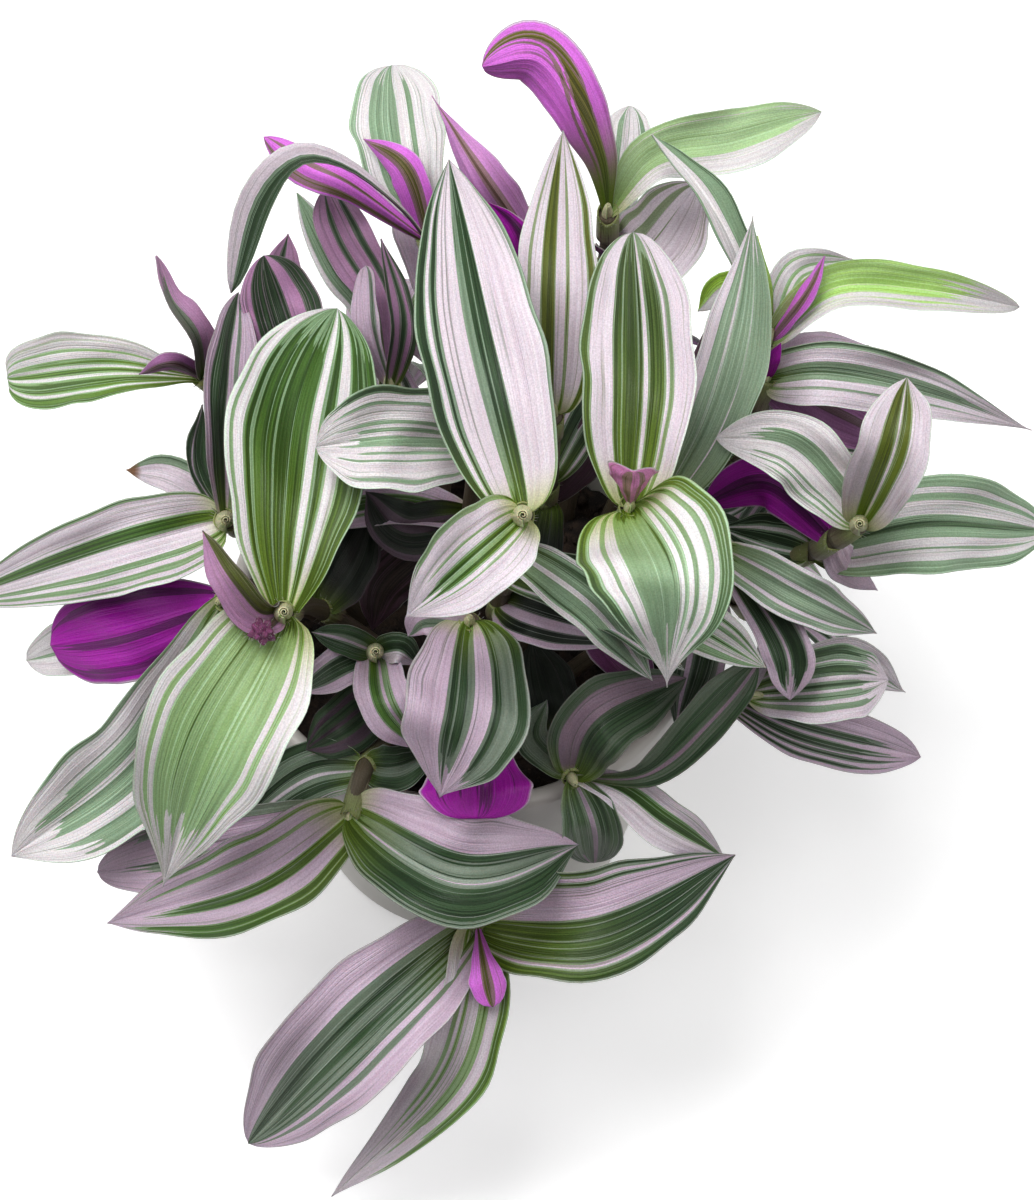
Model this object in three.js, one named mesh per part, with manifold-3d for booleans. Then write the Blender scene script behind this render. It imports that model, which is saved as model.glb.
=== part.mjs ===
// Potted tradescantia with pink, white and green variegated leaves.
// Millimetres, +Z up. The origin is the middle of the pot's underside, on the table.
import * as THREE from "three";
import { mergeVertices } from "three/addons/utils/BufferGeometryUtils.js";
import Module from "manifold-3d";

const wasm = await Module();
wasm.setup();

// ---------------------------------------------------------------- driving sizes, mm
const POT_HEIGHT = 100;
const POT_RIM_RADIUS = 60;
const POT_BASE_RADIUS = 43;
const POT_WALL = 3.2;
const POT_FLOOR = 5;
const RIM_BAND_HEIGHT = 16;
const RIM_BAND_DEPTH = 1.6;
const POT_SIDES = 32;
const DRAIN_HOLES = 4;
const DRAIN_HOLE_RADIUS = 4;
const DRAIN_HOLE_SIDES = 10;
const DRAIN_CIRCLE_RADIUS = 26;

const SOIL_TOP = 88;
const SEAT_GAP = 0.3;

const STEM_RADIUS = 2.4;
const STEM_SIDES = 5;
const STEM_DEPTH_IN_SOIL = 18;
const STEM_STRAIGHT_ABOVE_SOIL = 2;
const HOLE_SIDES = 5;

const LEAF_THICKNESS = 1.0;
const LEAF_STEPS = 5;
const BROAD_LEAF_WIDTH = 21.5;
const USUAL_BELLY = 0.42;
const USUAL_POINT = 0.5;
const YOUNG_LEAF_LENGTH = 13;
const YOUNG_LEAF_RADIUS = 2.1;
const YOUNG_LEAF_END_RADIUS = 0.9;
const YOUNG_LEAF_SIDES = 5;
const BUD_RADIUS = 1.5;

const LOWER_LEAF_RISE = 0.14;
const LOWER_LEAF_DROOP = 0.1;
const REAR_ROOT_RADIUS = 42;
const REAR_CREST_RADIUS = 56;
const REAR_CREST_RISE = 14;
const REAR_LEAF_SHAPE = 0.36;
// Place along the stem, turn from its direction in degrees, droop and size of each leaf.
const REAR_LEAVES = [
  [0.5, 42, 0.3, 1.0],
  [1, 42, 0.4, 1.0],
  [1, 30, 0.6, 0.85],
];

// ---------------------------------------------------------------- how the shoots are placed
// The shoots that face the viewer are placed along sight lines. A sight point is
// [column, row, depth]: the column and row of the 1034 x 1200 view, and how far in
// millimetres the point stands towards the viewer from the plane through VIEW_CENTRE.
const VIEW_COLUMNS = 1034;
const VIEW_ROWS = 1200;
const VIEW_SCALE = 0.25;
const VIEW_DISTANCE = 900;
const VIEW_ELEVATION = THREE.MathUtils.degToRad(58);
const VIEW_CENTRE = new THREE.Vector3(12, 0, 100);
const VIEW_RIGHT = new THREE.Vector3(1, 0, 0);
const VIEW_UP = new THREE.Vector3(0, Math.sin(VIEW_ELEVATION), Math.cos(VIEW_ELEVATION));
const VIEW_TOWARD = new THREE.Vector3(0, -Math.cos(VIEW_ELEVATION), Math.sin(VIEW_ELEVATION));
const EYE = VIEW_CENTRE.clone().addScaledVector(VIEW_TOWARD, VIEW_DISTANCE);

// Each leaf is [stem point it grows from, points along its midrib, tip, width in mm,
// roll at the base, roll at the tip, cup], with the angles in degrees. At roll 0 the upper
// face looks at the viewer, and at roll 180 the underside does. Two more values may follow:
// how far along its widest place is, and how pointed its tip is. A lower leaf is [place
// along the stem, heading in degrees from +X, length, width].
// TABLE BEGIN
const SHOOTS = [
  {
    "name": "shoot_crown",
    "heart": true,
    "root": [4, -12],
    "stem": [[500, 600, 40], [512, 548, 76], [523, 515, 97]],
    "lower": [[0.5, 330, 50, 18]],
    "leaves": [
      [2, [[480, 340, 90]], [449, 160, 60], 30, 0, 0, 20, 0.42, 0.42],
      [2, [[470, 562, 106]], [406, 617, 97], 21.5, 0, 0, 22, 0.42, 0.6],
      [1, [[592, 606, 80]], [652, 680, 64], 13, 0, 0, 18],
      [0, [[545, 616, 56]], [632, 640, 46], 16, 0, 0, 18],
    ],
  },
  {
    "name": "shoot_crown_right",
    "root": [14, -8],
    "stem": [[612, 580, 44], [630, 508, 88]],
    "leaves": [
      [1, [[638, 370, 84]], [633, 233, 54], 28, 0, 0, 22, 0.48, 0.1],
      [1, [[666, 580, 108]], [667, 687, 92], 35, 0, 0, 15, 0.35, 1.1],
      [1, [[631, 490, 97]], [633, 471, 103], 14, 180, 180, 40, 0.68, 0],
      [0, [[700, 625, 58]], [766, 668, 58], 14, 0, 0, 18],
      [0, [[618, 640, 44]], [655, 692, 34], 17, 180, 180, 18],
    ],
  },
  {
    "name": "shoot_left",
    "heart": true,
    "root": [-16, -14],
    "stem": [[322, 610, 30], [284, 612, 70]],
    "buds": [262, 632, 76],
    "leaves": [
      [1, [[292, 510, 70], [305, 406, 58]], [337, 309, 38], 36, 0, 0, 16, 0.58, 0.25],
      [1, [[206, 752, 74]], [163, 886, 46], 34.5, 0, 0, 15, 0.4, 0.9],
      [1, [[258, 612, 76], [228, 576, 82]], [203, 531, 74], 11, -20, -20, 30],
      [0, [[352, 565, 30]], [374, 508, 26], 13, 0, 0, 20],
    ],
  },
  {
    "name": "shoot_left_low",
    "root": [-24, -8],
    "stem": [[262, 590, 28], [226, 600, 42]],
    "leaves": [
      [1, [[141, 760, 28]], [12, 856, 2], 28, 0, 0, 18, 0.55, 0.4],
      [1, [[132, 629, 26]], [51, 645, 8], 26, 180, 180, 15, 0.6, -0.1],
      [0, [[110, 636, 12]], [27, 660, -6], 15, 0, 0, 18, 0.6, 0.1],
    ],
  },
  {
    "name": "shoot_left_mid",
    "heart": true,
    "root": [-28, 2],
    "stem": [[270, 540, 20], [226, 520, 46]],
    "leaves": [
      [1, [[107, 553, 36]], [-48, 602, -14], 23, 0, 0, 18, 0.36, 0.4],
      [1, [[226, 398, 52]], [238, 293, 30], 16, 25, 25, 25, 0.5, 0.3],
      [1, [[196, 465, 38]], [202, 405, 26], 8, 40, 40, 20],
      [0, [[180, 478, 22]], [127, 470, 12], 10, 0, 0, 20],
    ],
  },
  {
    "name": "shoot_far_left",
    "root": [-28, 14],
    "stem": [[262, 420, 8], [204, 378, 20]],
    "lower": [[0.5, 95, 24, 12]],
    "leaves": [
      [1, [[108, 366, 20]], [8, 378, -6], 19, 0, 0, 18, 0.72, -0.1],
      [1, [[172, 364, 32]], [139, 374, 30], 6, 150, 150, 25],
      [1, [[197, 335, 34], [171, 300, 34]], [156, 256, 28], 9, 30, 60, 25, 0.4, 0.1],
    ],
  },
  {
    "name": "shoot_upper_left",
    "root": [-14, 12],
    "stem": [[335, 470, 5], [312, 400, 20]],
    "lower": [[0.7, 125, 44, 16]],
    "leaves": [
      [1, [[287, 325, 30]], [264, 256, 20], 21, 0, 0, 25, 0.5, 0.2],
      [1, [[284, 290, 16]], [288, 234, 10], 11, 0, 0, 25],
    ],
  },
  {
    "name": "shoot_top_left",
    "root": [-8, 28],
    "stem": [[455, 330, 0], [428, 242, 16]],
    "lower": [[0.5, 108, 46, 17]],
    "leaves": [
      [1, [[402, 152, 12]], [392, 66, -14], 24.5, 0, 0, 22, 0.6, 0.1],
      [1, [[350, 188, 30], [305, 168, 28]], [264, 137, 22], 10, 180, 180, 25, 0.6, 0.2],
      [1, [[405, 172, 26]], [364, 139, 18], 10, 180, 160, 25],
      [
        1, [[398, 206, 36], [345, 166, 44], [297, 158, 47], [256, 202, 44]], [231, 293, 40],
        9, 85, -10, 25, 0.78, 0.2,
      ],
    ],
  },
  {
    "name": "shoot_top",
    "root": [4, 30],
    "stem": [[520, 330, -6], [528, 238, 4]],
    "lower": [[0.6, 88, 36, 16]],
    "leaves": [
      [1, [[480, 170, 20]], [432, 96, 10], 12.5, 180, 180, 25, 0.3, 1.2],
      [0, [[510, 250, 18]], [488, 202, 24], 14, 180, 180, 25],
    ],
  },
  {
    "name": "shoot_inner_upper",
    "root": [-6, 14],
    "stem": [[410, 470, 10], [390, 388, 30]],
    "lower": [[0.5, 105, 40, 15]],
    "leaves": [
      [1, [[400, 320, 40]], [381, 239, 34], 8, 30, 30, 25],
      [1, [[370, 330, 38]], [366, 266, 32], 8, -30, -30, 25, 0.6, 0],
      [1, [[380, 300, 24], [346, 238, 20]], [326, 190, 12], 14, 0, 0, 25, 0.6, 0.1],
      [0, [[372, 320, 4], [335, 262, 4]], [297, 193, -4], 11, 0, 0, 25, 0.55, 0.4],
    ],
  },
  {
    "name": "shoot_upper_centre",
    "root": [8, 4],
    "stem": [[545, 500, 20], [553, 414, 56]],
    "lower": [[0.6, 60, 46, 16]],
    "leaves": [
      [1, [[557, 275, 62]], [563, 131, 38], 21, 0, 0, 22, 0.38, 0.45],
      [0, [[585, 448, 26]], [592, 392, 22], 13, 180, 180, 20],
      [0, [[530, 565, 26]], [518, 625, 20], 15, 0, 0, 20],
    ],
  },
  {
    "name": "shoot_tall",
    "root": [14, 28],
    "stem": [[600, 330, -12], [607, 262, -4], [608, 214, 14]],
    "lower": [[0.4, 66, 34, 14]],
    "leaves": [
      [2, [[599, 160, 26], [572, 104, 36], [535, 59, 40]], [482, 66, 42], 18.5, 180, 150, 28, 0.66, 0.1],
      [2, [[655, 156, 14], [735, 140, 2]], [821, 112, -14], 17, 0, 0, 22, 0.58, 0.3],
      [1, [[625, 160, -8]], [630, 106, -16], 13, 0, 0, 20, 0.6, 0.2],
      [1, [[648, 250, 0]], [696, 186, -8], 24, 0, 0, 22, 0.5, 0.1],
      [1, [[598, 250, 4]], [583, 240, 4], 5, 90, 90, 20],
    ],
  },
  {
    "name": "shoot_right_upper",
    "root": [20, 2],
    "stem": [[655, 560, 10], [664, 505, 40]],
    "lower": [[0.5, 40, 34, 13]],
    "leaves": [
      [1, [[712, 420, 50], [741, 320, 42]], [753, 216, 30], 19, 0, 0, 25, 0.45, 0.8],
      [1, [[700, 400, 24]], [712, 318, 14], 12, 180, 180, 20],
      [0, [[702, 534, 12]], [750, 526, 10], 12, 0, 0, 20],
    ],
  },
  {
    "name": "shoot_right_top",
    "root": [28, 18],
    "stem": [[735, 430, 0], [768, 342, 20]],
    "lower": [[0.55, 38, 44, 16]],
    "leaves": [
      [1, [[832, 287, 26], [922, 288, 12]], [1019, 307, -8], 13, 0, 0, 28, 0.45, 0.1],
      [1, [[764, 290, 24]], [757, 236, 22], 5, 60, 60, 20],
      [1, [[794, 272, 8]], [852, 259, -6], 10, 0, 0, 20],
      [1, [[803, 296, 30]], [825, 256, 32], 5.5, 150, 150, 25],
      [1, [[730, 290, 8]], [698, 311, 2], 10, 0, 0, 20],
      [1, [[715, 212, 26]], [652, 135, 24], 11, 40, 40, 30],
    ],
  },
  {
    "name": "shoot_right",
    "root": [28, 8],
    "stem": [[735, 470, 0], [766, 380, 24]],
    "lower": [[0.55, 5, 42, 15]],
    "leaves": [
      [1, [[830, 374, 32], [930, 394, 18]], [1031, 430, -6], 17, 0, 0, 20, 0.38, 0.8],
      [1, [[840, 418, 14]], [900, 445, 6], 15, 180, 180, 15],
      [1, [[772, 362, 32]], [781, 343, 34], 4, 180, 180, 20],
    ],
  },
  {
    "name": "shoot_far_right",
    "heart": true,
    "root": [36, -1],
    "stem": [[812, 552, 24], [834, 540, 42], [860, 524, 50]],
    "leaves": [
      [2, [[828, 482, 54], [785, 444, 58]], [716, 438, 54], 18.5, 0, 0, 18, 0.5, 0.3],
      [2, [[893, 448, 72]], [907, 378, 66], 18.5, 0, 0, 24, 0.46, 0.4],
      [0, [[925, 524, 36]], [1045, 531, 6], 24.5, 0, 0, 15, 0.52, 0.1],
      [1, [[845, 568, 30]], [877, 590, 18], 9, 180, 180, 20],
      [1, [[768, 482, 36]], [702, 503, 24], 14, 180, 180, 20, 0.5, 0.2],
      [0, [[775, 542, 20]], [722, 528, 14], 15, 0, 0, 20],
    ],
  },
  {
    "name": "shoot_right_mid",
    "heart": true,
    "root": [22, -18],
    "stem": [[705, 580, 16], [722, 552, 40]],
    "leaves": [
      [1, [[802, 597, 52]], [876, 633, 28], 13.5, 0, 0, 18],
      [1, [[784, 642, 46]], [790, 700, 44], 13, 0, 0, 20, 0.55, 0.4],
      [0, [[698, 655, 40]], [676, 730, 34], 15, 0, 0, 20],
    ],
  },
  {
    "name": "shoot_right_low",
    "root": [30, -24],
    "stem": [[712, 690, 26], [748, 694, 30]],
    "leaves": [
      [1, [[830, 684, 36]], [888, 680, 24], 20, 0, 0, 22, 0.5, 0.4],
      [1, [[846, 662, 16]], [905, 692, 4], 13, 0, 0, 20, 0.42, 0.7],
      [0, [[800, 728, 20]], [920, 757, -4], 16.5, 0, 0, 22, 0.62, 0.3],
      [1, [[764, 655, 36]], [762, 620, 34], 4, 0, 0, 20],
    ],
  },
  {
    "name": "shoot_front_right",
    "root": [14, -32],
    "stem": [[562, 750, 30], [572, 776, 40]],
    "leaves": [
      [1, [[645, 771, 46], [700, 722, 52]], [757, 662, 44], 12.5, 60, 0, 20, 0.68, 0.2],
      [1, [[598, 722, 50]], [686, 678, 44], 20, 0, 0, 22, 0.5, 0.4],
      [1, [[532, 738, 38]], [547, 700, 36], 9, 0, 0, 20],
      [1, [[590, 822, 36]], [594, 862, 20], 15.5, 0, 0, 20, 0.55, 0.1],
      [1, [[620, 790, 38], [665, 823, 32]], [724, 858, 14], 13, 0, 0, 22, 0.6, 0.5],
      [0, [[545, 690, 30]], [532, 640, 26], 17, 0, 0, 20],
    ],
  },
  {
    "name": "shoot_centre",
    "root": [-2, 0],
    "stem": [[470, 520, 28], [478, 442, 62]],
    "lower": [[0.5, 180, 44, 15]],
    "leaves": [
      [1, [[400, 438, 82]], [316, 447, 76], 25.5, 0, 0, 20, 0.5, 0.2],
      [0, [[405, 530, 38]], [366, 492, 34], 15, 0, 0, 20],
      [0, [[390, 580, 24]], [372, 630, 18], 15, 180, 180, 15],
    ],
  },
  {
    "name": "shoot_front",
    "root": [-4, -22],
    "stem": [[470, 660, 30], [470, 622, 58]],
    "leaves": [
      [1, [[466, 712, 78]], [440, 797, 68], 30, 0, 0, 15, 0.48, 0.7],
      [0, [[476, 756, 56]], [477, 819, 60], 30, 180, 180, 30, 0.72, 0],
      [1, [[425, 620, 62]], [408, 636, 60], 8, 0, 0, 20],
      [0, [[488, 714, 18]], [496, 746, 14], 15, 0, 0, 20],
      [0, [[436, 740, 22]], [424, 790, 22], 13, 0, 0, 20],
    ],
  },
  {
    "name": "shoot_inner_left",
    "heart": true,
    "root": [-14, -26],
    "stem": [[385, 690, 16], [376, 652, 38]],
    "leaves": [
      [1, [[400, 648, 44]], [418, 664, 38], 8, 0, 0, 20],
      [1, [[386, 705, 50]], [420, 748, 42], 14, 0, 0, 22],
      [1, [[338, 668, 44]], [300, 692, 34], 11, 0, 0, 20],
      [1, [[345, 640, 46]], [312, 632, 44], 8, 0, 0, 20],
      [0, [[345, 726, 32]], [306, 750, 30], 16, 0, 0, 20],
    ],
  },
  {
    "name": "shoot_bottom_left",
    "root": [-18, -38],
    "stem": [[367, 766, 34], [352, 812, 36]],
    "leaves": [
      [1, [[232, 846, 26]], [98, 872, -2], 20, 0, 0, 20, 0.55, 0.1],
      [1, [[250, 882, 38]], [108, 923, 8], 24, 0, 0, 22, 0.42, 0.5],
      [1, [[462, 868, 54]], [578, 845, 36], 29, 0, 0, 18, 0.46, 0.5],
      [0, [[300, 778, 24]], [212, 850, 10], 17, 0, 0, 20],
      [0, [[398, 768, 38]], [432, 752, 36], 12, 0, 0, 20],
    ],
  },
  {
    "name": "shoot_bottom",
    "root": [-2, -44],
    "stem": [[468, 795, 38], [476, 870, 34], [477, 922, 26]],
    "leaves": [
      [2, [[600, 922, 40]], [735, 855, 24], 28, 0, 0, 18, 0.42, 0.5],
      [2, [[354, 1032, 34]], [249, 1143, -2], 30.5, 0, 0, 18, 0.48, 0.2],
      [2, [[472, 1015, 30], [435, 1098, 18]], [332, 1196, -8], 20, 0, 0, 25],
      [2, [[484, 966, 39]], [493, 1007, 38], 10, 180, 180, 30, 0.72, 0],
    ],
  },
];

// The low shoots round the far side: [direction in degrees from +X, reach, height, leaf length].
const REAR_SHOOTS = [
  [14, 74, 66, 42],
  [37, 80, 84, 52],
  [54, 86, 42, 56],
  [72, 82, 88, 52],
  [89, 86, 44, 56],
  [110, 82, 86, 54],
  [121, 84, 45, 40],
  [152, 68, 84, 32],
];
// TABLE END

// ---------------------------------------------------------------- points, curves, frames
function sight([column, row, depth]) {
  const across = (column - VIEW_COLUMNS / 2) * VIEW_SCALE;
  const up = (VIEW_ROWS / 2 - row) * VIEW_SCALE;
  const shrink = 1 - depth / VIEW_DISTANCE;
  return VIEW_CENTRE.clone()
    .addScaledVector(VIEW_RIGHT, across * shrink)
    .addScaledVector(VIEW_UP, up * shrink)
    .addScaledVector(VIEW_TOWARD, depth);
}

function mirrorPoint(near, far) {
  return near.clone().multiplyScalar(2).sub(far);
}

// A uniform Catmull-Rom curve through the points, with t from 0 to 1.
function curvePoint(points, t) {
  const spans = points.length - 1;
  const span = Math.min(Math.floor(t * spans), spans - 1);
  const f = t * spans - span;
  const b = points[span];
  const c = points[span + 1];
  const a = span > 0 ? points[span - 1] : mirrorPoint(b, c);
  const d = span + 2 <= spans ? points[span + 2] : mirrorPoint(c, b);
  const point = new THREE.Vector3();
  point.addScaledVector(a, (-f + 2 * f * f - f * f * f) / 2);
  point.addScaledVector(b, (2 - 5 * f * f + 3 * f * f * f) / 2);
  point.addScaledVector(c, (f + 4 * f * f - 3 * f * f * f) / 2);
  point.addScaledVector(d, (-f * f + f * f * f) / 2);
  return point;
}

function curveTangent(points, t) {
  const step = 0.002;
  const before = curvePoint(points, Math.max(0, t - step));
  const after = curvePoint(points, Math.min(1, t + step));
  return after.sub(before).normalize();
}

// ---------------------------------------------------------------- closed meshes
function solidFromLists(vertices, triangles) {
  const geometry = new THREE.BufferGeometry();
  const numbers = vertices.flatMap((vertex) => vertex.toArray());
  geometry.setAttribute("position", new THREE.Float32BufferAttribute(numbers, 3));
  geometry.setIndex(triangles.flat());
  return solidFromGeometry(geometry);
}

function solidFromGeometry(geometry) {
  const bare = geometry.clone();
  bare.deleteAttribute("normal");
  bare.deleteAttribute("uv");
  const merged = mergeVertices(bare, 1e-4);
  return new wasm.Manifold(new wasm.Mesh({
    numProp: 3,
    vertProperties: new Float32Array(merged.attributes.position.array),
    triVerts: new Uint32Array(merged.index.array),
  }));
}

// The one body of a fused shoot: a scrap is dropped, and so is the skin of a sealed hollow.
function oneBody(solid) {
  const shells = solid.decompose();
  return shells.reduce((best, shell) => (shell.volume() > best.volume() ? shell : best));
}

function geometryFromSolid(solid) {
  const mesh = solid.getMesh();
  const geometry = new THREE.BufferGeometry();
  geometry.setAttribute("position", new THREE.BufferAttribute(new Float32Array(mesh.vertProperties), 3));
  geometry.setIndex(new THREE.BufferAttribute(new Uint32Array(mesh.triVerts), 1));
  return geometry;
}

// ---------------------------------------------------------------- leaves
function leafHalfWidth(leaf, t) {
  const q = Math.pow(t, Math.log(0.5) / Math.log(leaf.belly));
  const oval = Math.pow(Math.max(0, 1 - (2 * q - 1) ** 2), 0.5 + leaf.point * t);
  const sheath = 0.2 * Math.pow(1 - t, 4);
  return (leaf.width / 2) * Math.hypot(oval, sheath);
}

// The side and upper-face directions of a leaf at t, rolled about its midrib.
function leafFrame(leaf, t) {
  const middle = curvePoint(leaf.points, t);
  const along = curveTangent(leaf.points, t);
  const toward = leaf.faceOf(middle);
  const face = toward.addScaledVector(along, -toward.dot(along)).normalize();
  const side = along.clone().cross(face);
  const roll = THREE.MathUtils.degToRad(leaf.roll + (leaf.rollAtTip - leaf.roll) * t);
  const normal = face.clone().multiplyScalar(Math.cos(roll));
  normal.addScaledVector(side, Math.sin(roll));
  const across = side.multiplyScalar(Math.cos(roll)).addScaledVector(face, -Math.sin(roll));
  return { middle, across, normal };
}

function leafPoint(leaf, frame, t, s) {
  const half = leafHalfWidth(leaf, t);
  const cup = THREE.MathUtils.degToRad(leaf.cup);
  return frame.middle.clone()
    .addScaledVector(frame.across, half * s * Math.cos(cup))
    .addScaledVector(frame.normal, half * Math.pow(Math.abs(s), 1.5) * Math.sin(cup));
}

// A leaf is a lens-shaped blade: both faces are split alike and share their margins.
function leafSolid(leaf) {
  const strips = leaf.width < BROAD_LEAF_WIDTH ? 2 : 4;
  const steps = LEAF_STEPS;
  const vertices = [];
  const index = { upper: [], lower: [] };
  for (let row = 0; row < steps; row += 1) {
    const t = row / steps;
    const frame = leafFrame(leaf, t);
    index.upper.push([]);
    index.lower.push([]);
    for (let column = 0; column <= strips; column += 1) {
      const s = (2 * column) / strips - 1;
      const point = leafPoint(leaf, frame, t, s);
      const lift = (LEAF_THICKNESS / 2) * (1 - s * s);
      index.upper[row].push(vertices.length);
      vertices.push(point.clone().addScaledVector(frame.normal, lift));
      const margin = column === 0 || column === strips;
      index.lower[row].push(margin ? vertices.length - 1 : vertices.length);
      if (!margin) {
        vertices.push(point.clone().addScaledVector(frame.normal, -lift));
      }
    }
  }
  const tip = vertices.length;
  vertices.push(curvePoint(leaf.points, 1));
  const triangles = [];
  for (const face of ["upper", "lower"]) {
    const turn = face === "upper" ? (tri) => tri : ([a, b, c]) => [a, c, b];
    const grid = index[face];
    for (let column = 0; column < strips; column += 1) {
      const crossed = column < strips / 2;
      for (let row = 0; row + 1 < steps; row += 1) {
        const [a, b] = [grid[row][column], grid[row][column + 1]];
        const [c, d] = [grid[row + 1][column], grid[row + 1][column + 1]];
        const pair = crossed ? [[a, b, d], [a, d, c]] : [[a, b, c], [b, d, c]];
        triangles.push(...pair.map(turn));
      }
      triangles.push(turn([grid[steps - 1][column], grid[steps - 1][column + 1], tip]));
    }
  }
  for (let column = 0; column < strips; column += 1) {
    const [a, b] = [index.upper[0][column], index.upper[0][column + 1]];
    const [c, d] = [index.lower[0][column], index.lower[0][column + 1]];
    if (a !== c) {
      triangles.push([a, c, d]);
    }
    if (b !== d) {
      triangles.push([a, d, b]);
    }
  }
  return solidFromLists(vertices, triangles);
}

// ---------------------------------------------------------------- stems
// A tube through the rings; the last ring closes on a blunt end.
function tubeSolid(rings, radii, sides) {
  const vertices = [];
  const triangles = [];
  let side = new THREE.Vector3(1, 0, 0);
  rings.forEach((centre, ring) => {
    const before = rings[Math.max(0, ring - 1)];
    const after = rings[Math.min(rings.length - 1, ring + 1)];
    const along = after.clone().sub(before).normalize();
    side = side.clone().addScaledVector(along, -side.dot(along)).normalize();
    const other = along.clone().cross(side);
    for (let corner = 0; corner < sides; corner += 1) {
      const angle = (2 * Math.PI * corner) / sides;
      vertices.push(centre.clone()
        .addScaledVector(side, radii[ring] * Math.cos(angle))
        .addScaledVector(other, radii[ring] * Math.sin(angle)));
    }
  });
  for (let ring = 0; ring + 1 < rings.length; ring += 1) {
    for (let corner = 0; corner < sides; corner += 1) {
      const next = (corner + 1) % sides;
      const [a, b] = [ring * sides + corner, ring * sides + next];
      triangles.push([a, b, b + sides], [a, b + sides, a + sides]);
    }
  }
  const last = (rings.length - 1) * sides;
  for (let corner = 1; corner + 1 < sides; corner += 1) {
    triangles.push([0, corner + 1, corner], [last, last + corner, last + corner + 1]);
  }
  return solidFromLists(vertices, triangles);
}

// The points that a stem passes, from its foot in the soil and its collar just above it.
function stemPath(root, stemPoints) {
  const foot = new THREE.Vector3(root[0], root[1], SOIL_TOP - STEM_DEPTH_IN_SOIL);
  const collar = new THREE.Vector3(root[0], root[1], SOIL_TOP + STEM_STRAIGHT_ABOVE_SOIL);
  return [foot, collar, ...stemPoints];
}

// A place from 0 at the collar to 1 at the end of the stem.
function stemPlace(path, place) {
  const spans = path.length - 1;
  return curvePoint(path, (1 + place * (spans - 1)) / spans);
}

function stemSolid(path) {
  const steps = 2 * (path.length - 1);
  const rings = [path[0]];
  for (let step = 2; step <= steps; step += 1) {
    rings.push(curvePoint(path, step / steps));
  }
  const radii = rings.map(() => STEM_RADIUS);
  return tubeSolid(rings, radii, STEM_SIDES);
}

// The rolled young leaf that stands in the heart of a shoot.
function youngLeafSolid(base, direction) {
  const rings = [base.clone(), base.clone().addScaledVector(direction, YOUNG_LEAF_LENGTH)];
  return tubeSolid(rings, [YOUNG_LEAF_RADIUS, YOUNG_LEAF_END_RADIUS], YOUNG_LEAF_SIDES);
}

function budSolids(centre, base) {
  const offsets = [[0, 0, 0], [1.6, 0.8, 0.6], [-1.4, 1.2, 0.4], [0.3, -1.6, 0.5]];
  const balls = offsets.map((offset) => {
    const ball = new THREE.IcosahedronGeometry(BUD_RADIUS, 0);
    ball.translate(centre.x + offset[0], centre.y + offset[1], centre.z + offset[2]);
    return solidFromGeometry(ball);
  });
  return [...balls, tubeSolid([base, centre], [1.2, 1], 5)];
}

// ---------------------------------------------------------------- shoots
function towardEye(point) {
  return EYE.clone().sub(point).normalize();
}

function sightLeaf(stemPoints, row) {
  const [from, middles, tip, width, roll, rollAtTip, cup, belly = USUAL_BELLY, point = USUAL_POINT] = row;
  const points = [stemPoints[from].clone(), ...middles.map(sight), sight(tip)];
  return { points, width, roll, rollAtTip, cup, belly, point, faceOf: towardEye };
}

function fuse(solids) {
  return oneBody(solids.reduce((whole, solid) => whole.add(solid)));
}

function lowerLeaf(path, [place, heading, length, width]) {
  const angle = THREE.MathUtils.degToRad(heading);
  const ahead = new THREE.Vector3(Math.cos(angle), Math.sin(angle), 0);
  const base = stemPlace(path, place);
  const middle = base.clone().addScaledVector(ahead, 0.5 * length);
  middle.z += LOWER_LEAF_RISE * length;
  const tip = base.clone().addScaledVector(ahead, 0.95 * length);
  tip.z -= LOWER_LEAF_DROOP * length;
  return {
    points: [base, middle, tip],
    width,
    roll: 0,
    rollAtTip: 0,
    cup: 20,
    belly: USUAL_BELLY,
    point: USUAL_POINT,
    faceOf: () => new THREE.Vector3(0, 0, 1),
  };
}

function sightShoot(shoot) {
  const stemPoints = shoot.stem.map(sight);
  const end = stemPoints[stemPoints.length - 1];
  const path = stemPath(shoot.root, stemPoints);
  const solids = [stemSolid(path)];
  if (shoot.heart) {
    solids.push(youngLeafSolid(end, towardEye(end)));
  }
  for (const row of shoot.leaves) {
    solids.push(leafSolid(sightLeaf(stemPoints, row)));
  }
  for (const row of shoot.lower ?? []) {
    solids.push(leafSolid(lowerLeaf(path, row)));
  }
  if (shoot.buds) {
    solids.push(...budSolids(sight(shoot.buds), end));
  }
  return fuse(solids);
}

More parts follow.
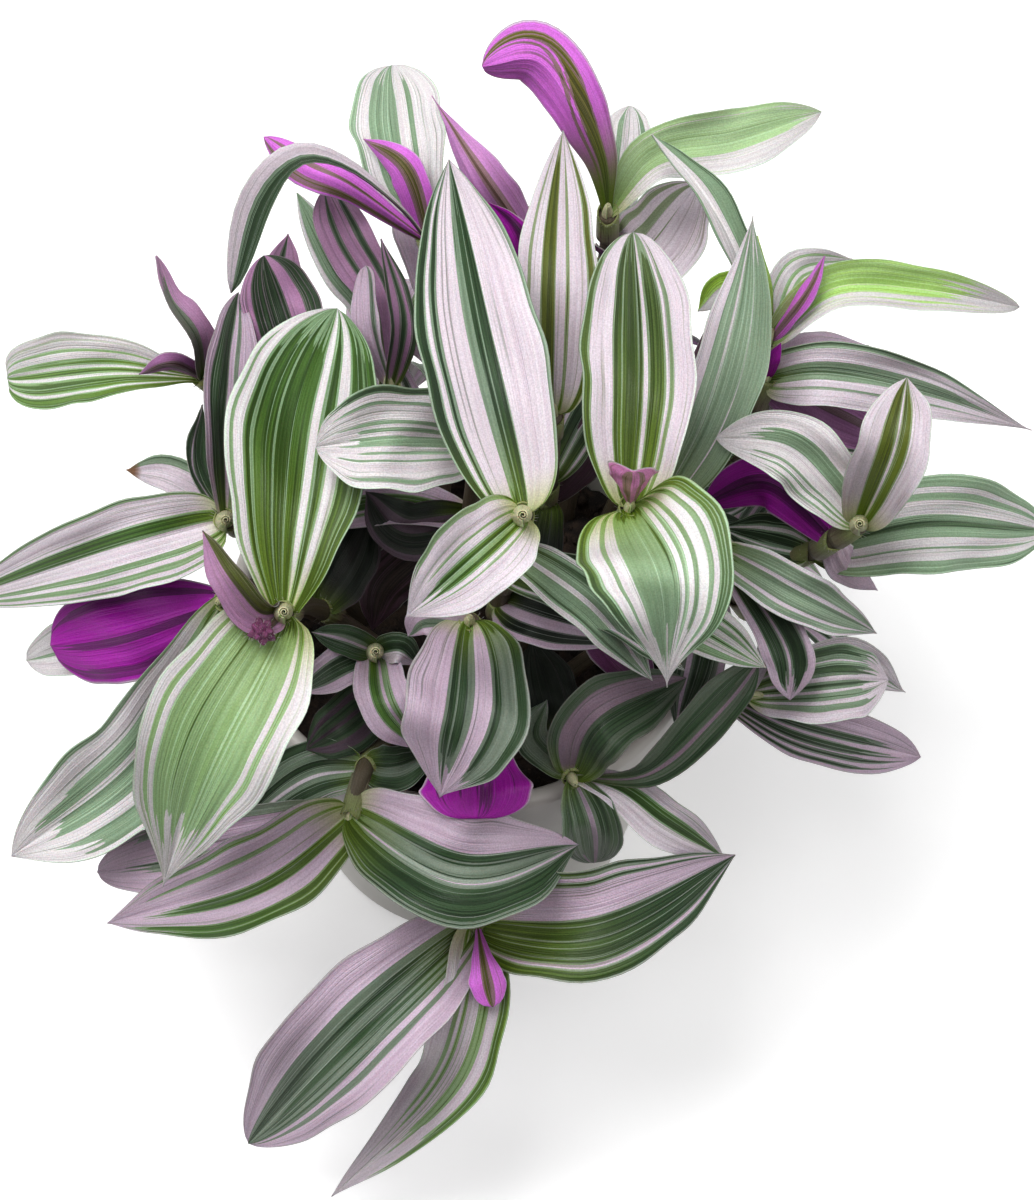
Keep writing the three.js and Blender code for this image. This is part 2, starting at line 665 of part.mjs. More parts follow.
// A rear shoot climbs over the rim and hangs outside it, with leaves left and right in turn.
function rearShoot([direction, reach, height, leafLength], order) {
  const angle = THREE.MathUtils.degToRad(direction);
  const outward = new THREE.Vector3(Math.cos(angle), Math.sin(angle), 0);
  const sideways = new THREE.Vector3(-Math.sin(angle), Math.cos(angle), 0);
  const away = (radius, z) => outward.clone().multiplyScalar(radius).setZ(z);
  const root = away(REAR_ROOT_RADIUS, 0);
  const stemPoints = [away(REAR_CREST_RADIUS, POT_HEIGHT + REAR_CREST_RISE), away(reach, height)];
  const face = outward.clone().multiplyScalar(0.55).setZ(0.85).normalize();
  const solids = [stemSolid(stemPath([root.x, root.y], stemPoints))];
  REAR_LEAVES.forEach(([place, turn, droop, size], leafOrder) => {
    const hand = (leafOrder + order) % 2 === 0 ? 1 : -1;
    const spread = THREE.MathUtils.degToRad(turn) * hand;
    const length = leafLength * size;
    const heading = outward.clone().multiplyScalar(Math.cos(spread));
    heading.addScaledVector(sideways, Math.sin(spread));
    const base = curvePoint(stemPoints, place);
    const middle = base.clone().addScaledVector(heading, 0.5 * length).setZ(base.z + 0.12 * length);
    const tip = base.clone().addScaledVector(heading, 0.9 * length).setZ(base.z - droop * length);
    solids.push(leafSolid({
      points: [base, middle, tip],
      width: REAR_LEAF_SHAPE * length,
      roll: 0,
      rollAtTip: 0,
      cup: 20,
      belly: USUAL_BELLY,
      point: USUAL_POINT,
      faceOf: () => face.clone(),
    }));
  });
  return { root: [root.x, root.y], solid: fuse(solids) };
}

// ---------------------------------------------------------------- pot and soil
function lathe(profile, sides) {
  const corners = profile.map(([radius, z]) => new THREE.Vector2(radius, z));
  const geometry = new THREE.LatheGeometry(corners, sides);
  geometry.rotateX(Math.PI / 2);
  return solidFromGeometry(geometry);
}

function uprightCylinder(x, y, bottom, top, radius, sides) {
  const geometry = new THREE.CylinderGeometry(radius, radius, top - bottom, sides);
  geometry.rotateX(Math.PI / 2);
  geometry.translate(x, y, (bottom + top) / 2);
  return solidFromGeometry(geometry);
}

function outerRadius(z) {
  const slope = (POT_RIM_RADIUS - RIM_BAND_DEPTH - POT_BASE_RADIUS) / POT_HEIGHT;
  return POT_BASE_RADIUS + slope * z;
}

function potSolid() {
  const band = POT_HEIGHT - RIM_BAND_HEIGHT;
  const innerTop = POT_RIM_RADIUS - RIM_BAND_DEPTH - POT_WALL;
  const profile = [
    [0, 0],
    [POT_BASE_RADIUS - 1.5, 0],
    [outerRadius(1.5), 1.5],
    [outerRadius(band), band],
    [outerRadius(band) + RIM_BAND_DEPTH, band + RIM_BAND_DEPTH],
    [POT_RIM_RADIUS, POT_HEIGHT - 1],
    [POT_RIM_RADIUS - 1, POT_HEIGHT],
    [innerTop + 1, POT_HEIGHT],
    [innerTop, POT_HEIGHT - 1],
    [outerRadius(POT_FLOOR) - POT_WALL, POT_FLOOR],
    [0, POT_FLOOR],
  ];
  let pot = lathe(profile, POT_SIDES);
  for (let hole = 0; hole < DRAIN_HOLES; hole += 1) {
    const angle = (2 * Math.PI * hole) / DRAIN_HOLES;
    const [x, y] = [DRAIN_CIRCLE_RADIUS * Math.cos(angle), DRAIN_CIRCLE_RADIUS * Math.sin(angle)];
    pot = pot.subtract(uprightCylinder(x, y, -1, POT_FLOOR + 1, DRAIN_HOLE_RADIUS, DRAIN_HOLE_SIDES));
  }
  return pot;
}

function soilSolid(roots) {
  const innerTop = POT_RIM_RADIUS - RIM_BAND_DEPTH - POT_WALL;
  const innerBase = outerRadius(POT_FLOOR) - POT_WALL;
  const rise = (SOIL_TOP - POT_FLOOR) / (POT_HEIGHT - 1 - POT_FLOOR);
  const innerAtSoil = innerBase + (innerTop - innerBase) * rise;
  const profile = [
    [0, POT_FLOOR + SEAT_GAP],
    [innerBase - SEAT_GAP, POT_FLOOR + SEAT_GAP],
    [innerAtSoil - SEAT_GAP, SOIL_TOP],
    [0, SOIL_TOP],
  ];
  let soil = lathe(profile, POT_SIDES);
  const holeBottom = SOIL_TOP - STEM_DEPTH_IN_SOIL - SEAT_GAP;
  const holeRadius = (STEM_RADIUS + SEAT_GAP) / Math.cos(Math.PI / HOLE_SIDES);
  for (const [x, y] of roots) {
    soil = soil.subtract(uprightCylinder(x, y, holeBottom, SOIL_TOP + 1, holeRadius, HOLE_SIDES));
  }
  return soil;
}

// ---------------------------------------------------------------- the scene graph
const POT_MATERIAL = new THREE.MeshStandardMaterial({ color: 0xe9e6df, roughness: 0.5, metalness: 0 });
const SOIL_MATERIAL = new THREE.MeshStandardMaterial({ color: 0x2b211b, roughness: 1, metalness: 0 });
const SHOOT_MATERIAL = new THREE.MeshStandardMaterial({ color: 0x86a076, roughness: 0.55, metalness: 0 });

function namedMesh(name, solid, material) {
  const mesh = new THREE.Mesh(geometryFromSolid(solid), material);
  mesh.name = name;
  return mesh;
}

const rearShoots = REAR_SHOOTS.map(rearShoot);
const roots = [...SHOOTS.map((shoot) => shoot.root), ...rearShoots.map((shoot) => shoot.root)];

const group = new THREE.Group();
group.add(namedMesh("pot", potSolid(), POT_MATERIAL));
group.add(namedMesh("soil", soilSolid(roots), SOIL_MATERIAL));
for (const shoot of SHOOTS) {
  group.add(namedMesh(shoot.name, sightShoot(shoot), SHOOT_MATERIAL));
}
rearShoots.forEach((shoot, order) => {
  group.add(namedMesh(`shoot_rear_${order + 1}`, shoot.solid, SHOOT_MATERIAL));
});

export default group;
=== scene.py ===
import math
import random
from dataclasses import dataclass

import bmesh
import bpy
import numpy as np
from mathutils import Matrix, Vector, noise


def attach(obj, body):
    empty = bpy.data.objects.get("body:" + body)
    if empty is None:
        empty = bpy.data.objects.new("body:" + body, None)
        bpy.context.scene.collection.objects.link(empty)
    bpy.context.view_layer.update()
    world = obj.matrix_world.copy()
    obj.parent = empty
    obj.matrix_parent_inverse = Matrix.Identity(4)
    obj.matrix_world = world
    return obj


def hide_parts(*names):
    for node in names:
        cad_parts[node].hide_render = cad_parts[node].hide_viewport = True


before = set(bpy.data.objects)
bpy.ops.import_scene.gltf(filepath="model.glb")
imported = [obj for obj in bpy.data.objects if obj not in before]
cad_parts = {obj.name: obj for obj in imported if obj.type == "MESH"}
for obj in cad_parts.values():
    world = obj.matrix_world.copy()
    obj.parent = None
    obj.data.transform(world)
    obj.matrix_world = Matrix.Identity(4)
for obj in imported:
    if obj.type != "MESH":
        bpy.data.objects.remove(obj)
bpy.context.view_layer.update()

MM = 0.001

# ---- the view of the photograph
# A sight point is [column, row, depth]: the column and row of the 1034 x 1200 view, and how far
# in millimetres the point stands towards the viewer from the plane through VIEW_CENTRE.
VIEW_COLUMNS = 1034
VIEW_ROWS = 1200
VIEW_SCALE = 0.25
VIEW_DISTANCE = 900
VIEW_ELEVATION = math.radians(58)
VIEW_CENTRE = np.array([12.0, 0.0, 100.0])
VIEW_RIGHT = np.array([1.0, 0.0, 0.0])
VIEW_UP = np.array([0.0, math.sin(VIEW_ELEVATION), math.cos(VIEW_ELEVATION)])
VIEW_TOWARD = np.array([0.0, -math.cos(VIEW_ELEVATION), math.sin(VIEW_ELEVATION)])
EYE = VIEW_CENTRE + VIEW_DISTANCE * VIEW_TOWARD
SENSOR_SIZE = 36.0

# ---- sizes
# The pot
POT_HEIGHT = 100
POT_RIM_RADIUS = 60
POT_BASE_RADIUS = 43
POT_WALL = 3.2
POT_FLOOR = 5
POT_FOOT_RADIUS = 34
POT_FOOT_HEIGHT = 0.8
POT_FOOT_BEVEL = 1.5
POT_EDGE_RADIUS = 2
POT_SIDES = 128
POT_RING_STEP = 12
RIM_BAND_HEIGHT = 16
RIM_BAND_DEPTH = 1.6
RIM_BAND_EDGE_RADIUS = 1
DRAIN_HOLES = 4
DRAIN_HOLE_RADIUS = 4
DRAIN_CIRCLE_RADIUS = 26

# The soil
SOIL_TOP = 88
SOIL_GAP = 0.3
SOIL_RINGS = 46
SOIL_SIDES = 120
SOIL_LUMP_HEIGHT = 1.7
SOIL_EDGE_DROP = 1.2
CRUMBS = 420
CRUMB_RADIUS = (0.6, 1.9)

# Stems and the sheaths round them
STEM_RADIUS = 2.2
STEM_SIDES = 14
STEM_DEPTH_IN_SOIL = 18
STEM_STRAIGHT_ABOVE_SOIL = 2
STEM_RING_STEP = 2.5
SHEATH_LENGTH = 9
SHEATH_RADIUS = 2.9
SHEATH_MOUTH_RADIUS = 2.7
SHEATH_WALL = 0.35
SHEATH_LIP = 1.6
SHEATH_HALF_ANGLE = 168
SHEATH_HAIR = 1.3
HAIR_THICKNESS = 0.06

# Leaf blades: belly is how far along its widest place is, and a share is of the half width.
USUAL_CUP = 20
USUAL_BELLY = 0.42
USUAL_POINT = 0.5
LEAF_THICKNESS = 0.7
LEAST_HALF_WIDTH = 0.14
GROOVE_DEPTH = 0.55
GROOVE_SHARE = 0.08
RIPPLE_SHARE = 0.11
BUCKLE_SHARE = 0.05
PLEAT_HEIGHT = 0.16
PLEAT_ANGLE = 17
# Rows and columns of points in a blade of at least the first number's width.
BLADE_GRIDS = [(18, 42, 55), (11, 32, 35), (0, 24, 19)]

# Leaves that head a level way: how far they reach, rise half way and droop, in their own lengths.
LOWER_LEAF_BENDS = (0.95, 0.14, 0.1)
REAR_LEAF_REACH = 0.9
REAR_LEAF_RISE = 0.12
REAR_LEAF_SHAPE = 0.36
# [place on the way from crest to end, degrees to the side, droop, share of the shoot's leaf length]
REAR_LEAVES = [
    [0.5, 42, 0.3, 1.0],
    [1, 42, 0.4, 1.0],
    [1, 30, 0.6, 0.85],
]
REAR_ROOT_RADIUS = 42
REAR_CREST_RADIUS = 56
REAR_CREST_RISE = 14

# Rolled young leaves and flower buds
ROLLED_LEAF_LENGTH = 13
ROLLED_LEAF_RADIUS = 2.8
ROLLED_LEAF_TURNS = 2.3
ROLLED_LEAF_CORE = 0.35
ROLLED_LEAF_THICKNESS = 0.22
BUD_LEAF_LENGTH = 4.5
BUD_LEAF_RADIUS = 1.6
BUDS = 11
BUD_LENGTH = 3.6
BUD_RADIUS = 1.15
BUD_STALK_RADIUS = 1.0
BUD_HAIR = 1.0
HAIRS_PER_BUD = 14
GOLDEN_TURN = 2.4

# The studio, in metres and watts: each light's name, place, size and power.
FLOOR_REACH = 20.0
LIGHT_AIM = Vector((0, 0, 0.1))
LIGHTS = [
    ("key_light", (-0.9, 0.1, 3.0), 1.7, 72),
    ("front_light", (0.4, -1.6, 2.9), 2.2, 32),
    ("fill_light", (1.8, 0.9, 2.4), 2.0, 14),
    ("left_light", (-2.6, -0.5, 0.9), 2.0, 32),
    ("right_light", (2.6, -0.3, 0.9), 2.0, 28),
    ("rear_light", (0.2, 2.7, 1.2), 2.0, 24),
]

# ---- the shoots
# A shoot is its stem, then its leaves. The stem has its root's place in the soil, the sight points
# it passes, and on some shoots a rolled leaf in the heart, a tuft of buds or one lower leaf, which
# is [place along the stem, heading in degrees from +X, length, width]. A leaf is [stem point it
# grows from, sight points along its midrib to the tip, look, width in mm, roll at the base, roll at
# the tip, cup], then how far along its widest place is and how pointed its tip is, where these
# aren't the usual ones. Looks are explained below the shoots.
SHOOTS = {
    "shoot_crown": [
        {"root": [4, -12], "stem": [[500, 600, 40], [512, 548, 76], [523, 515, 97]],
         "heart": True, "lower": [0.5, 330, 50, 18]},
        [2, [[480, 340, 90], [449, 160, 60]],
         "113924999999341100999999999992 dark blush", 30, 0, 0, 20, 0.42, 0.42],
        [2, [[470, 562, 106], [406, 617, 97]],
         "349999949922722949999999 mid blush fresh tipped", 21.5, 0, 0, 22, 0.42, 0.6],
        [1, [[592, 606, 80], [652, 680, 64]], "823483428 grey white", 13, 0, 0, 18],
        [0, [[545, 616, 56], [632, 640, 46]], "0198011089910098 night lilac", 16, 0, 0, 18],
    ],
    "shoot_crown_right": [
        {"root": [14, -8], "stem": [[612, 580, 44], [630, 508, 88]]},
        [1, [[638, 370, 84], [633, 233, 54]],
         "22999991112211922228299999 moss blush fresh", 28, 0, 0, 22, 0.48, 0.1],
        [1, [[666, 580, 108], [667, 687, 92]],
         "2249949944444444493939939322 grey white fresh tipped", 35, 0, 0, 15, 0.35, 1.1],
        [1, [[631, 490, 97], [633, 471, 103]], "999912991999 rosy", 14, 180, 180, 40, 0.68, 0],
        [0, [[700, 625, 58], [766, 668, 58]], "9919399299349 mid white", 14, 0, 0, 18],
        [0, [[618, 640, 44], [655, 692, 34]], "8895899 purple", 17, 180, 180, 18],
    ],
    "shoot_left": [
        {"root": [-16, -14], "stem": [[322, 610, 30], [284, 612, 70]],
         "heart": True, "buds": [262, 632, 76]},
        [1, [[292, 510, 70], [305, 406, 58], [337, 309, 38]],
         "939922223111132222992229992223322 mid white fresh", 36, 0, 0, 16, 0.58, 0.25],
        [1, [[206, 752, 74], [163, 886, 46]],
         "993944553555543445492999 light white fresh tipped", 34.5, 0, 0, 15, 0.4, 0.9],
        [1, [[258, 612, 76], [228, 576, 82], [203, 531, 74]], "999999011221 olive rose", 11, -20, -20, 30],
        [0, [[352, 565, 30], [374, 508, 26]], "045406 night dusk", 13, 0, 0, 20],
    ],
    "shoot_left_low": [
        {"root": [-24, -8], "stem": [[262, 590, 28], [226, 600, 42]]},
        [1, [[141, 760, 28], [12, 856, 2]],
         "39999444944449934449 grey white tipped", 28, 0, 0, 18, 0.55, 0.4],
        [1, [[132, 629, 26], [51, 645, 8]], "8828888388818 vivid", 26, 180, 180, 15, 0.6, -0.1],
        [0, [[110, 636, 12], [27, 660, -6]], "99994999 grey white", 15, 0, 0, 18, 0.6, 0.1],
    ],
    "shoot_left_mid": [
        {"root": [-28, 2], "stem": [[270, 540, 20], [226, 520, 46]], "heart": True},
        [1, [[107, 553, 36], [-48, 602, -14]],
         "299999911219999943944948 mid blush", 23, 0, 0, 18, 0.36, 0.4],
        [1, [[226, 398, 52], [238, 293, 30]], "990102939999 dark lilac", 16, 25, 25, 25, 0.5, 0.3],
        [1, [[196, 465, 38], [202, 405, 26]], "30810301 dark lilac", 8, 40, 40, 20],
        [0, [[180, 478, 22], [127, 470, 12]], "3499999 grey blush dried", 10, 0, 0, 20],
    ],
    "shoot_far_left": [
        {"root": [-28, 14], "stem": [[262, 420, 8], [204, 378, 20]], "lower": [0.5, 95, 24, 12]},
        [1, [[108, 366, 20], [8, 378, -6]],
         "9999939922922922229222 light white fresh", 19, 0, 0, 18, 0.72, -0.1],
        [1, [[172, 364, 32], [139, 374, 30]], "991299 mauve", 6, 150, 150, 25],
        [1, [[197, 335, 34], [171, 300, 34], [156, 256, 28]],
         "5534358999 grey rose tipped", 9, 30, 60, 25, 0.4, 0.1],
    ],
    "shoot_upper_left": [
        {"root": [-14, 12], "stem": [[335, 470, 5], [312, 400, 20]], "lower": [0.7, 125, 44, 16]},
        [1, [[287, 325, 30], [264, 256, 20]], "99010201999010 dark rose", 21, 0, 0, 25, 0.5, 0.2],
        [1, [[284, 290, 16], [288, 234, 10]], "991989 dark pink", 11, 0, 0, 25],
    ],
    "shoot_top_left": [
        {"root": [-8, 28], "stem": [[455, 330, 0], [428, 242, 16]], "lower": [0.5, 108, 46, 17]},
        [1, [[402, 152, 12], [392, 66, -14]], "4994444499499999 grey white", 24.5, 0, 0, 22, 0.6, 0.1],
        [1, [[350, 188, 30], [305, 168, 28], [264, 137, 22]],
         "9991999219 orchid", 10, 180, 180, 25, 0.6, 0.2],
        [1, [[405, 172, 26], [364, 139, 18]], "99921299 orchid", 10, 180, 160, 25],
        [1, [[398, 206, 36], [345, 166, 44], [297, 158, 47], [256, 202, 44], [231, 293, 40]],
         "999931221 dark blush", 9, 85, -10, 25, 0.78, 0.2],
    ],
    "shoot_top": [
        {"root": [4, 30], "stem": [[520, 330, -6], [528, 238, 4]], "lower": [0.6, 88, 36, 16]},
        [1, [[480, 170, 20], [432, 96, 10]], "9999129999 lavender", 12.5, 180, 180, 25, 0.3, 1.2],
        [0, [[510, 250, 18], [488, 202, 24]], "8818808 vivid", 14, 180, 180, 25],
    ],
    "shoot_inner_upper": [
        {"root": [-6, 14], "stem": [[410, 470, 10], [390, 388, 30]], "lower": [0.5, 105, 40, 15]},
        [1, [[400, 320, 40], [381, 239, 34]], "099091 dark pink", 8, 30, 30, 25],
        [1, [[370, 330, 38], [366, 266, 32]], "999919 dark lilac", 8, -30, -30, 25, 0.6, 0],
        [1, [[380, 300, 24], [346, 238, 20], [326, 190, 12]],
         "9991899099 dark pink", 14, 0, 0, 25, 0.6, 0.1],
        [0, [[372, 320, 4], [335, 262, 4], [297, 193, -4]],
         "944344349 grey white", 11, 0, 0, 25, 0.55, 0.4],
    ],
    "shoot_upper_centre": [
        {"root": [8, 4], "stem": [[545, 500, 20], [553, 414, 56]], "lower": [0.6, 60, 46, 16]},
        [1, [[557, 275, 62], [563, 131, 38]],
         "99939991121999299999229 olive blush", 21, 0, 0, 22, 0.38, 0.45],
        [0, [[585, 448, 26], [592, 392, 22]], "333 purple", 13, 180, 180, 20],
        [0, [[530, 565, 26], [518, 625, 20]], "202 night dusk", 15, 0, 0, 20],
    ],
    "shoot_tall": [
        {"root": [14, 28], "stem": [[600, 330, -12], [607, 262, -4], [608, 214, 14]],
         "lower": [0.4, 66, 34, 14]},
        [2, [[599, 160, 26], [572, 104, 36], [535, 59, 40], [482, 66, 42]],
         "9999929000099999 orchid fresh slanted", 18.5, 180, 150, 28, 0.66, 0.1],
        [2, [[655, 156, 14], [735, 140, 2], [821, 112, -14]],
         "4555445545555996999 sage white fresh", 17, 0, 0, 22, 0.58, 0.3],
        [1, [[625, 160, -8], [630, 106, -16]], "99499949 grey white", 13, 0, 0, 20, 0.6, 0.2],
        [1, [[648, 250, 0], [696, 186, -8]], "64954969999999 olive blush", 24, 0, 0, 22, 0.5, 0.1],
        [1, [[598, 250, 4], [583, 240, 4]], "99 grey blush", 5, 90, 90, 20],
    ],
    "shoot_right_upper": [
        {"root": [20, 2], "stem": [[655, 560, 10], [664, 505, 40]], "lower": [0.5, 40, 34, 13]},
        [1, [[712, 420, 50], [741, 320, 42], [753, 216, 30]],
         "99955465554655543 grey blush", 19, 0, 0, 25, 0.45, 0.8],
        [1, [[700, 400, 24], [712, 318, 14]], "333 purple", 12, 180, 180, 20],
        [0, [[702, 534, 12], [750, 526, 10]], "0501 dark lilac", 12, 0, 0, 20],
    ],
    "shoot_right_top": [
        {"root": [28, 18], "stem": [[735, 430, 0], [768, 342, 20]], "lower": [0.55, 38, 44, 16]},
        [1, [[832, 287, 26], [922, 288, 12], [1019, 307, -8]],
         "45544546449599 lime white tipped", 13, 0, 0, 28, 0.45, 0.1],
        [1, [[764, 290, 24], [757, 236, 22]], "2313 lime white", 5, 60, 60, 20],
        [1, [[794, 272, 8], [852, 259, -6]], "9949939499 light white", 10, 0, 0, 20],
        [1, [[803, 296, 30], [825, 256, 32]], "9919 orchid", 5.5, 150, 150, 25],
        [1, [[730, 290, 8], [698, 311, 2]], "22999 lime white", 10, 0, 0, 20],
        [1, [[715, 212, 26], [652, 135, 24]], "499999343 grey white", 11, 40, 40, 30],
    ],
    "shoot_right": [
        {"root": [28, 8], "stem": [[735, 470, 0], [766, 380, 24]], "lower": [0.55, 5, 42, 15]},
        [1, [[830, 374, 32], [930, 394, 18], [1031, 430, -6]],
         "14999943334499499999 grey blush tipped", 17, 0, 0, 20, 0.38, 0.8],
        [1, [[840, 418, 14], [900, 445, 6]], "993999 mauve", 15, 180, 180, 15],
        [1, [[772, 362, 32], [781, 343, 34]], "77 vivid", 4, 180, 180, 20],
    ],
    "shoot_far_right": [
        {"root": [36, -1], "stem": [[812, 552, 24], [834, 540, 42], [860, 524, 50]], "heart": True},
        [2, [[828, 482, 54], [785, 444, 58], [716, 438, 54]],
         "9999994444499994949499 grey white tipped", 18.5, 0, 0, 18, 0.5, 0.3],
        [2, [[893, 448, 72], [907, 378, 66]],
         "99999921129122999999 olive blush fresh", 18.5, 0, 0, 24, 0.46, 0.4],
        [0, [[925, 524, 36], [1045, 531, 6]],
         "3449449994334499499443 grey white", 24.5, 0, 0, 15, 0.52, 0.1],
        [1, [[845, 568, 30], [877, 590, 18]], "9999 faint", 9, 180, 180, 20],
        [1, [[768, 482, 36], [702, 503, 24]], "88188 vivid", 14, 180, 180, 20, 0.5, 0.2],
        [0, [[775, 542, 20], [722, 528, 14]], "018027109 dark white", 15, 0, 0, 20],
    ],
    "shoot_right_mid": [
        {"root": [22, -18], "stem": [[705, 580, 16], [722, 552, 40]], "heart": True},
        [1, [[802, 597, 52], [876, 633, 28]], "844449444448449 grey blush", 13.5, 0, 0, 18],
        [1, [[784, 642, 46], [790, 700, 44]], "89101801079 dark lilac tipped", 13, 0, 0, 20, 0.55, 0.4],
        [0, [[698, 655, 40], [676, 730, 34]], "0280137 dark lilac", 15, 0, 0, 20],
    ],
    "shoot_right_low": [
        {"root": [30, -24], "stem": [[712, 690, 26], [748, 694, 30]]},
        [1, [[830, 684, 36], [888, 680, 24]], "3272382728399 grey blush tipped", 20, 0, 0, 22, 0.5, 0.4],
        [1, [[846, 662, 16], [905, 692, 4]], "999939499 grey blush", 13, 0, 0, 20, 0.42, 0.7],
        [0, [[800, 728, 20], [920, 757, -4]],
         "9999990190180919 dark lilac tipped", 16.5, 0, 0, 22, 0.62, 0.3],
        [1, [[764, 655, 36], [762, 620, 34]], "779 grey blush", 4, 0, 0, 20],
    ],
    "shoot_front_right": [
        {"root": [14, -32], "stem": [[562, 750, 30], [572, 776, 40]]},
        [1, [[645, 771, 46], [700, 722, 52], [757, 662, 44]],
         "5432148431 dark ash", 12.5, 60, 0, 20, 0.68, 0.2],
        [1, [[598, 722, 50], [686, 678, 44]], "3289993132413 dark ash", 20, 0, 0, 22, 0.5, 0.4],
        [1, [[532, 738, 38], [547, 700, 36]], "3425 grey lilac", 9, 0, 0, 20],
        [1, [[590, 822, 36], [594, 862, 20]], "3141383131 grey lilac", 15.5, 0, 0, 20, 0.55, 0.1],
        [1, [[620, 790, 38], [665, 823, 32], [724, 858, 14]],
         "99913199999 mid blush", 13, 0, 0, 22, 0.6, 0.5],
        [0, [[545, 690, 30], [532, 640, 26]], "0120 night dusk", 17, 0, 0, 20],
    ],
    "shoot_centre": [
        {"root": [-2, 0], "stem": [[470, 520, 28], [478, 442, 62]], "lower": [0.5, 180, 44, 15]},
        [1, [[400, 438, 82], [316, 447, 76]],
         "329939999383944493949999499 grey white tipped", 25.5, 0, 0, 20, 0.5, 0.2],
        [0, [[405, 530, 38], [366, 492, 34]], "0199108 night dusk", 15, 0, 0, 20],
        [0, [[390, 580, 24], [372, 630, 18]], "202 purple", 15, 180, 180, 15],
    ],
    "shoot_front": [
        {"root": [-4, -22], "stem": [[470, 660, 30], [470, 622, 58]]},
        [1, [[466, 712, 78], [440, 797, 68]],
         "9999999931134699942434232 dark lilac tipped", 30, 0, 0, 15, 0.48, 0.7],
        [0, [[476, 756, 56], [477, 819, 60]], "8687858768 vivid", 30, 180, 180, 30, 0.72, 0],
        [1, [[425, 620, 62], [408, 636, 60]], "9929 dark lilac", 8, 0, 0, 20],
        [0, [[488, 714, 18], [496, 746, 14]], "0207 night dusk", 15, 0, 0, 20],
        [0, [[436, 740, 22], [424, 790, 22]], "0105 night dusk", 13, 0, 0, 20],
    ],
    "shoot_inner_left": [
        {"root": [-14, -26], "stem": [[385, 690, 16], [376, 652, 38]], "heart": True},
        [1, [[400, 648, 44], [418, 664, 38]], "12199 dark blush", 8, 0, 0, 20],
        [1, [[386, 705, 50], [420, 748, 42]], "9992182999 mid lilac", 14, 0, 0, 22],
        [1, [[338, 668, 44], [300, 692, 34]], "9901098 dark lilac", 11, 0, 0, 20],
        [1, [[345, 640, 46], [312, 632, 44]], "01801 dark lilac", 8, 0, 0, 20],
        [0, [[345, 726, 32], [306, 750, 30]], "09180790 dark dusk", 16, 0, 0, 20],
    ],
    "shoot_bottom_left": [
        {"root": [-18, -38], "stem": [[367, 766, 34], [352, 812, 36]]},
        [1, [[232, 846, 26], [98, 872, -2]], "4499924999 grey lilac tipped", 20, 0, 0, 20, 0.55, 0.1],
        [1, [[250, 882, 38], [108, 923, 8]],
         "91999299999900099991112 mid lilac fresh tipped", 24, 0, 0, 22, 0.42, 0.5],
        [1, [[462, 868, 54], [578, 845, 36]],
         "9999999992235627322123212 dark lilac", 29, 0, 0, 18, 0.46, 0.5],
        [0, [[300, 778, 24], [212, 850, 10]], "061706 dark blush", 17, 0, 0, 20],
        [0, [[398, 768, 38], [432, 752, 36]], "0150 dark lilac", 12, 0, 0, 20],
    ],
    "shoot_bottom": [
        {"root": [-2, -44], "stem": [[468, 795, 38], [476, 870, 34], [477, 922, 26]]},
        [2, [[600, 922, 40], [735, 855, 24]],
         "24919999999911214222329213 dark lilac fresh", 28, 0, 0, 18, 0.42, 0.5],
        [2, [[354, 1032, 34], [249, 1143, -2]],
         "9999999993442334323242693699999 dark lilac", 30.5, 0, 0, 18, 0.48, 0.2],
        [2, [[472, 1015, 30], [435, 1098, 18], [332, 1196, -8]],
         "99999292999242999222 light blush fresh tipped", 20, 0, 0, 25],
        [2, [[484, 966, 39], [493, 1007, 38]], "99901999 orchid", 10, 180, 180, 30, 0.72, 0],
    ],
}

# The low shoots round the far side: [direction in degrees from +X, reach, height, leaf length].
REAR_SHOOTS = [
    [14, 74, 66, 42],
    [37, 80, 84, 52],
    [54, 86, 42, 56],
    [72, 82, 88, 52],
    [89, 86, 44, 56],
    [110, 82, 86, 54],
    [121, 84, 45, 40],
    [152, 68, 84, 32],
]

# ---- stripes and colours
# A look is a pattern and the names of its colours. The pattern's digits run across the leaf as
# seen, from left to right, or from top to bottom on a leaf that lies across the view. 0 to 2 are
# green, 3 to 5 a silvery half tone and 6 to 9 pale, and a digit near a limit breaks up first into
# fine stripes of its neighbour. A fresh leaf is yellow-green towards its base, a tipped one ends
# pale, a dried one ends brown, and the stripes of a slanted one drift across it.
DIGITS_PER_LEVEL = 6
LEVEL_OF_ZERO = -0.25
HALF_TONE_LIMITS = (0.21, 0.29)
PALE_LIMITS = (0.70, 0.78)
LOOK_WORDS = ("fresh", "tipped", "dried", "slanted")
# Where along a leaf its stripes begin to end, how much that differs between them, and how fast
# they fade there.
STRIPE_END = 0.76
TIPPED_STRIPE_END = 0.66
STRIPE_END_SPREAD = 0.2
STRIPE_FADE = 0.14
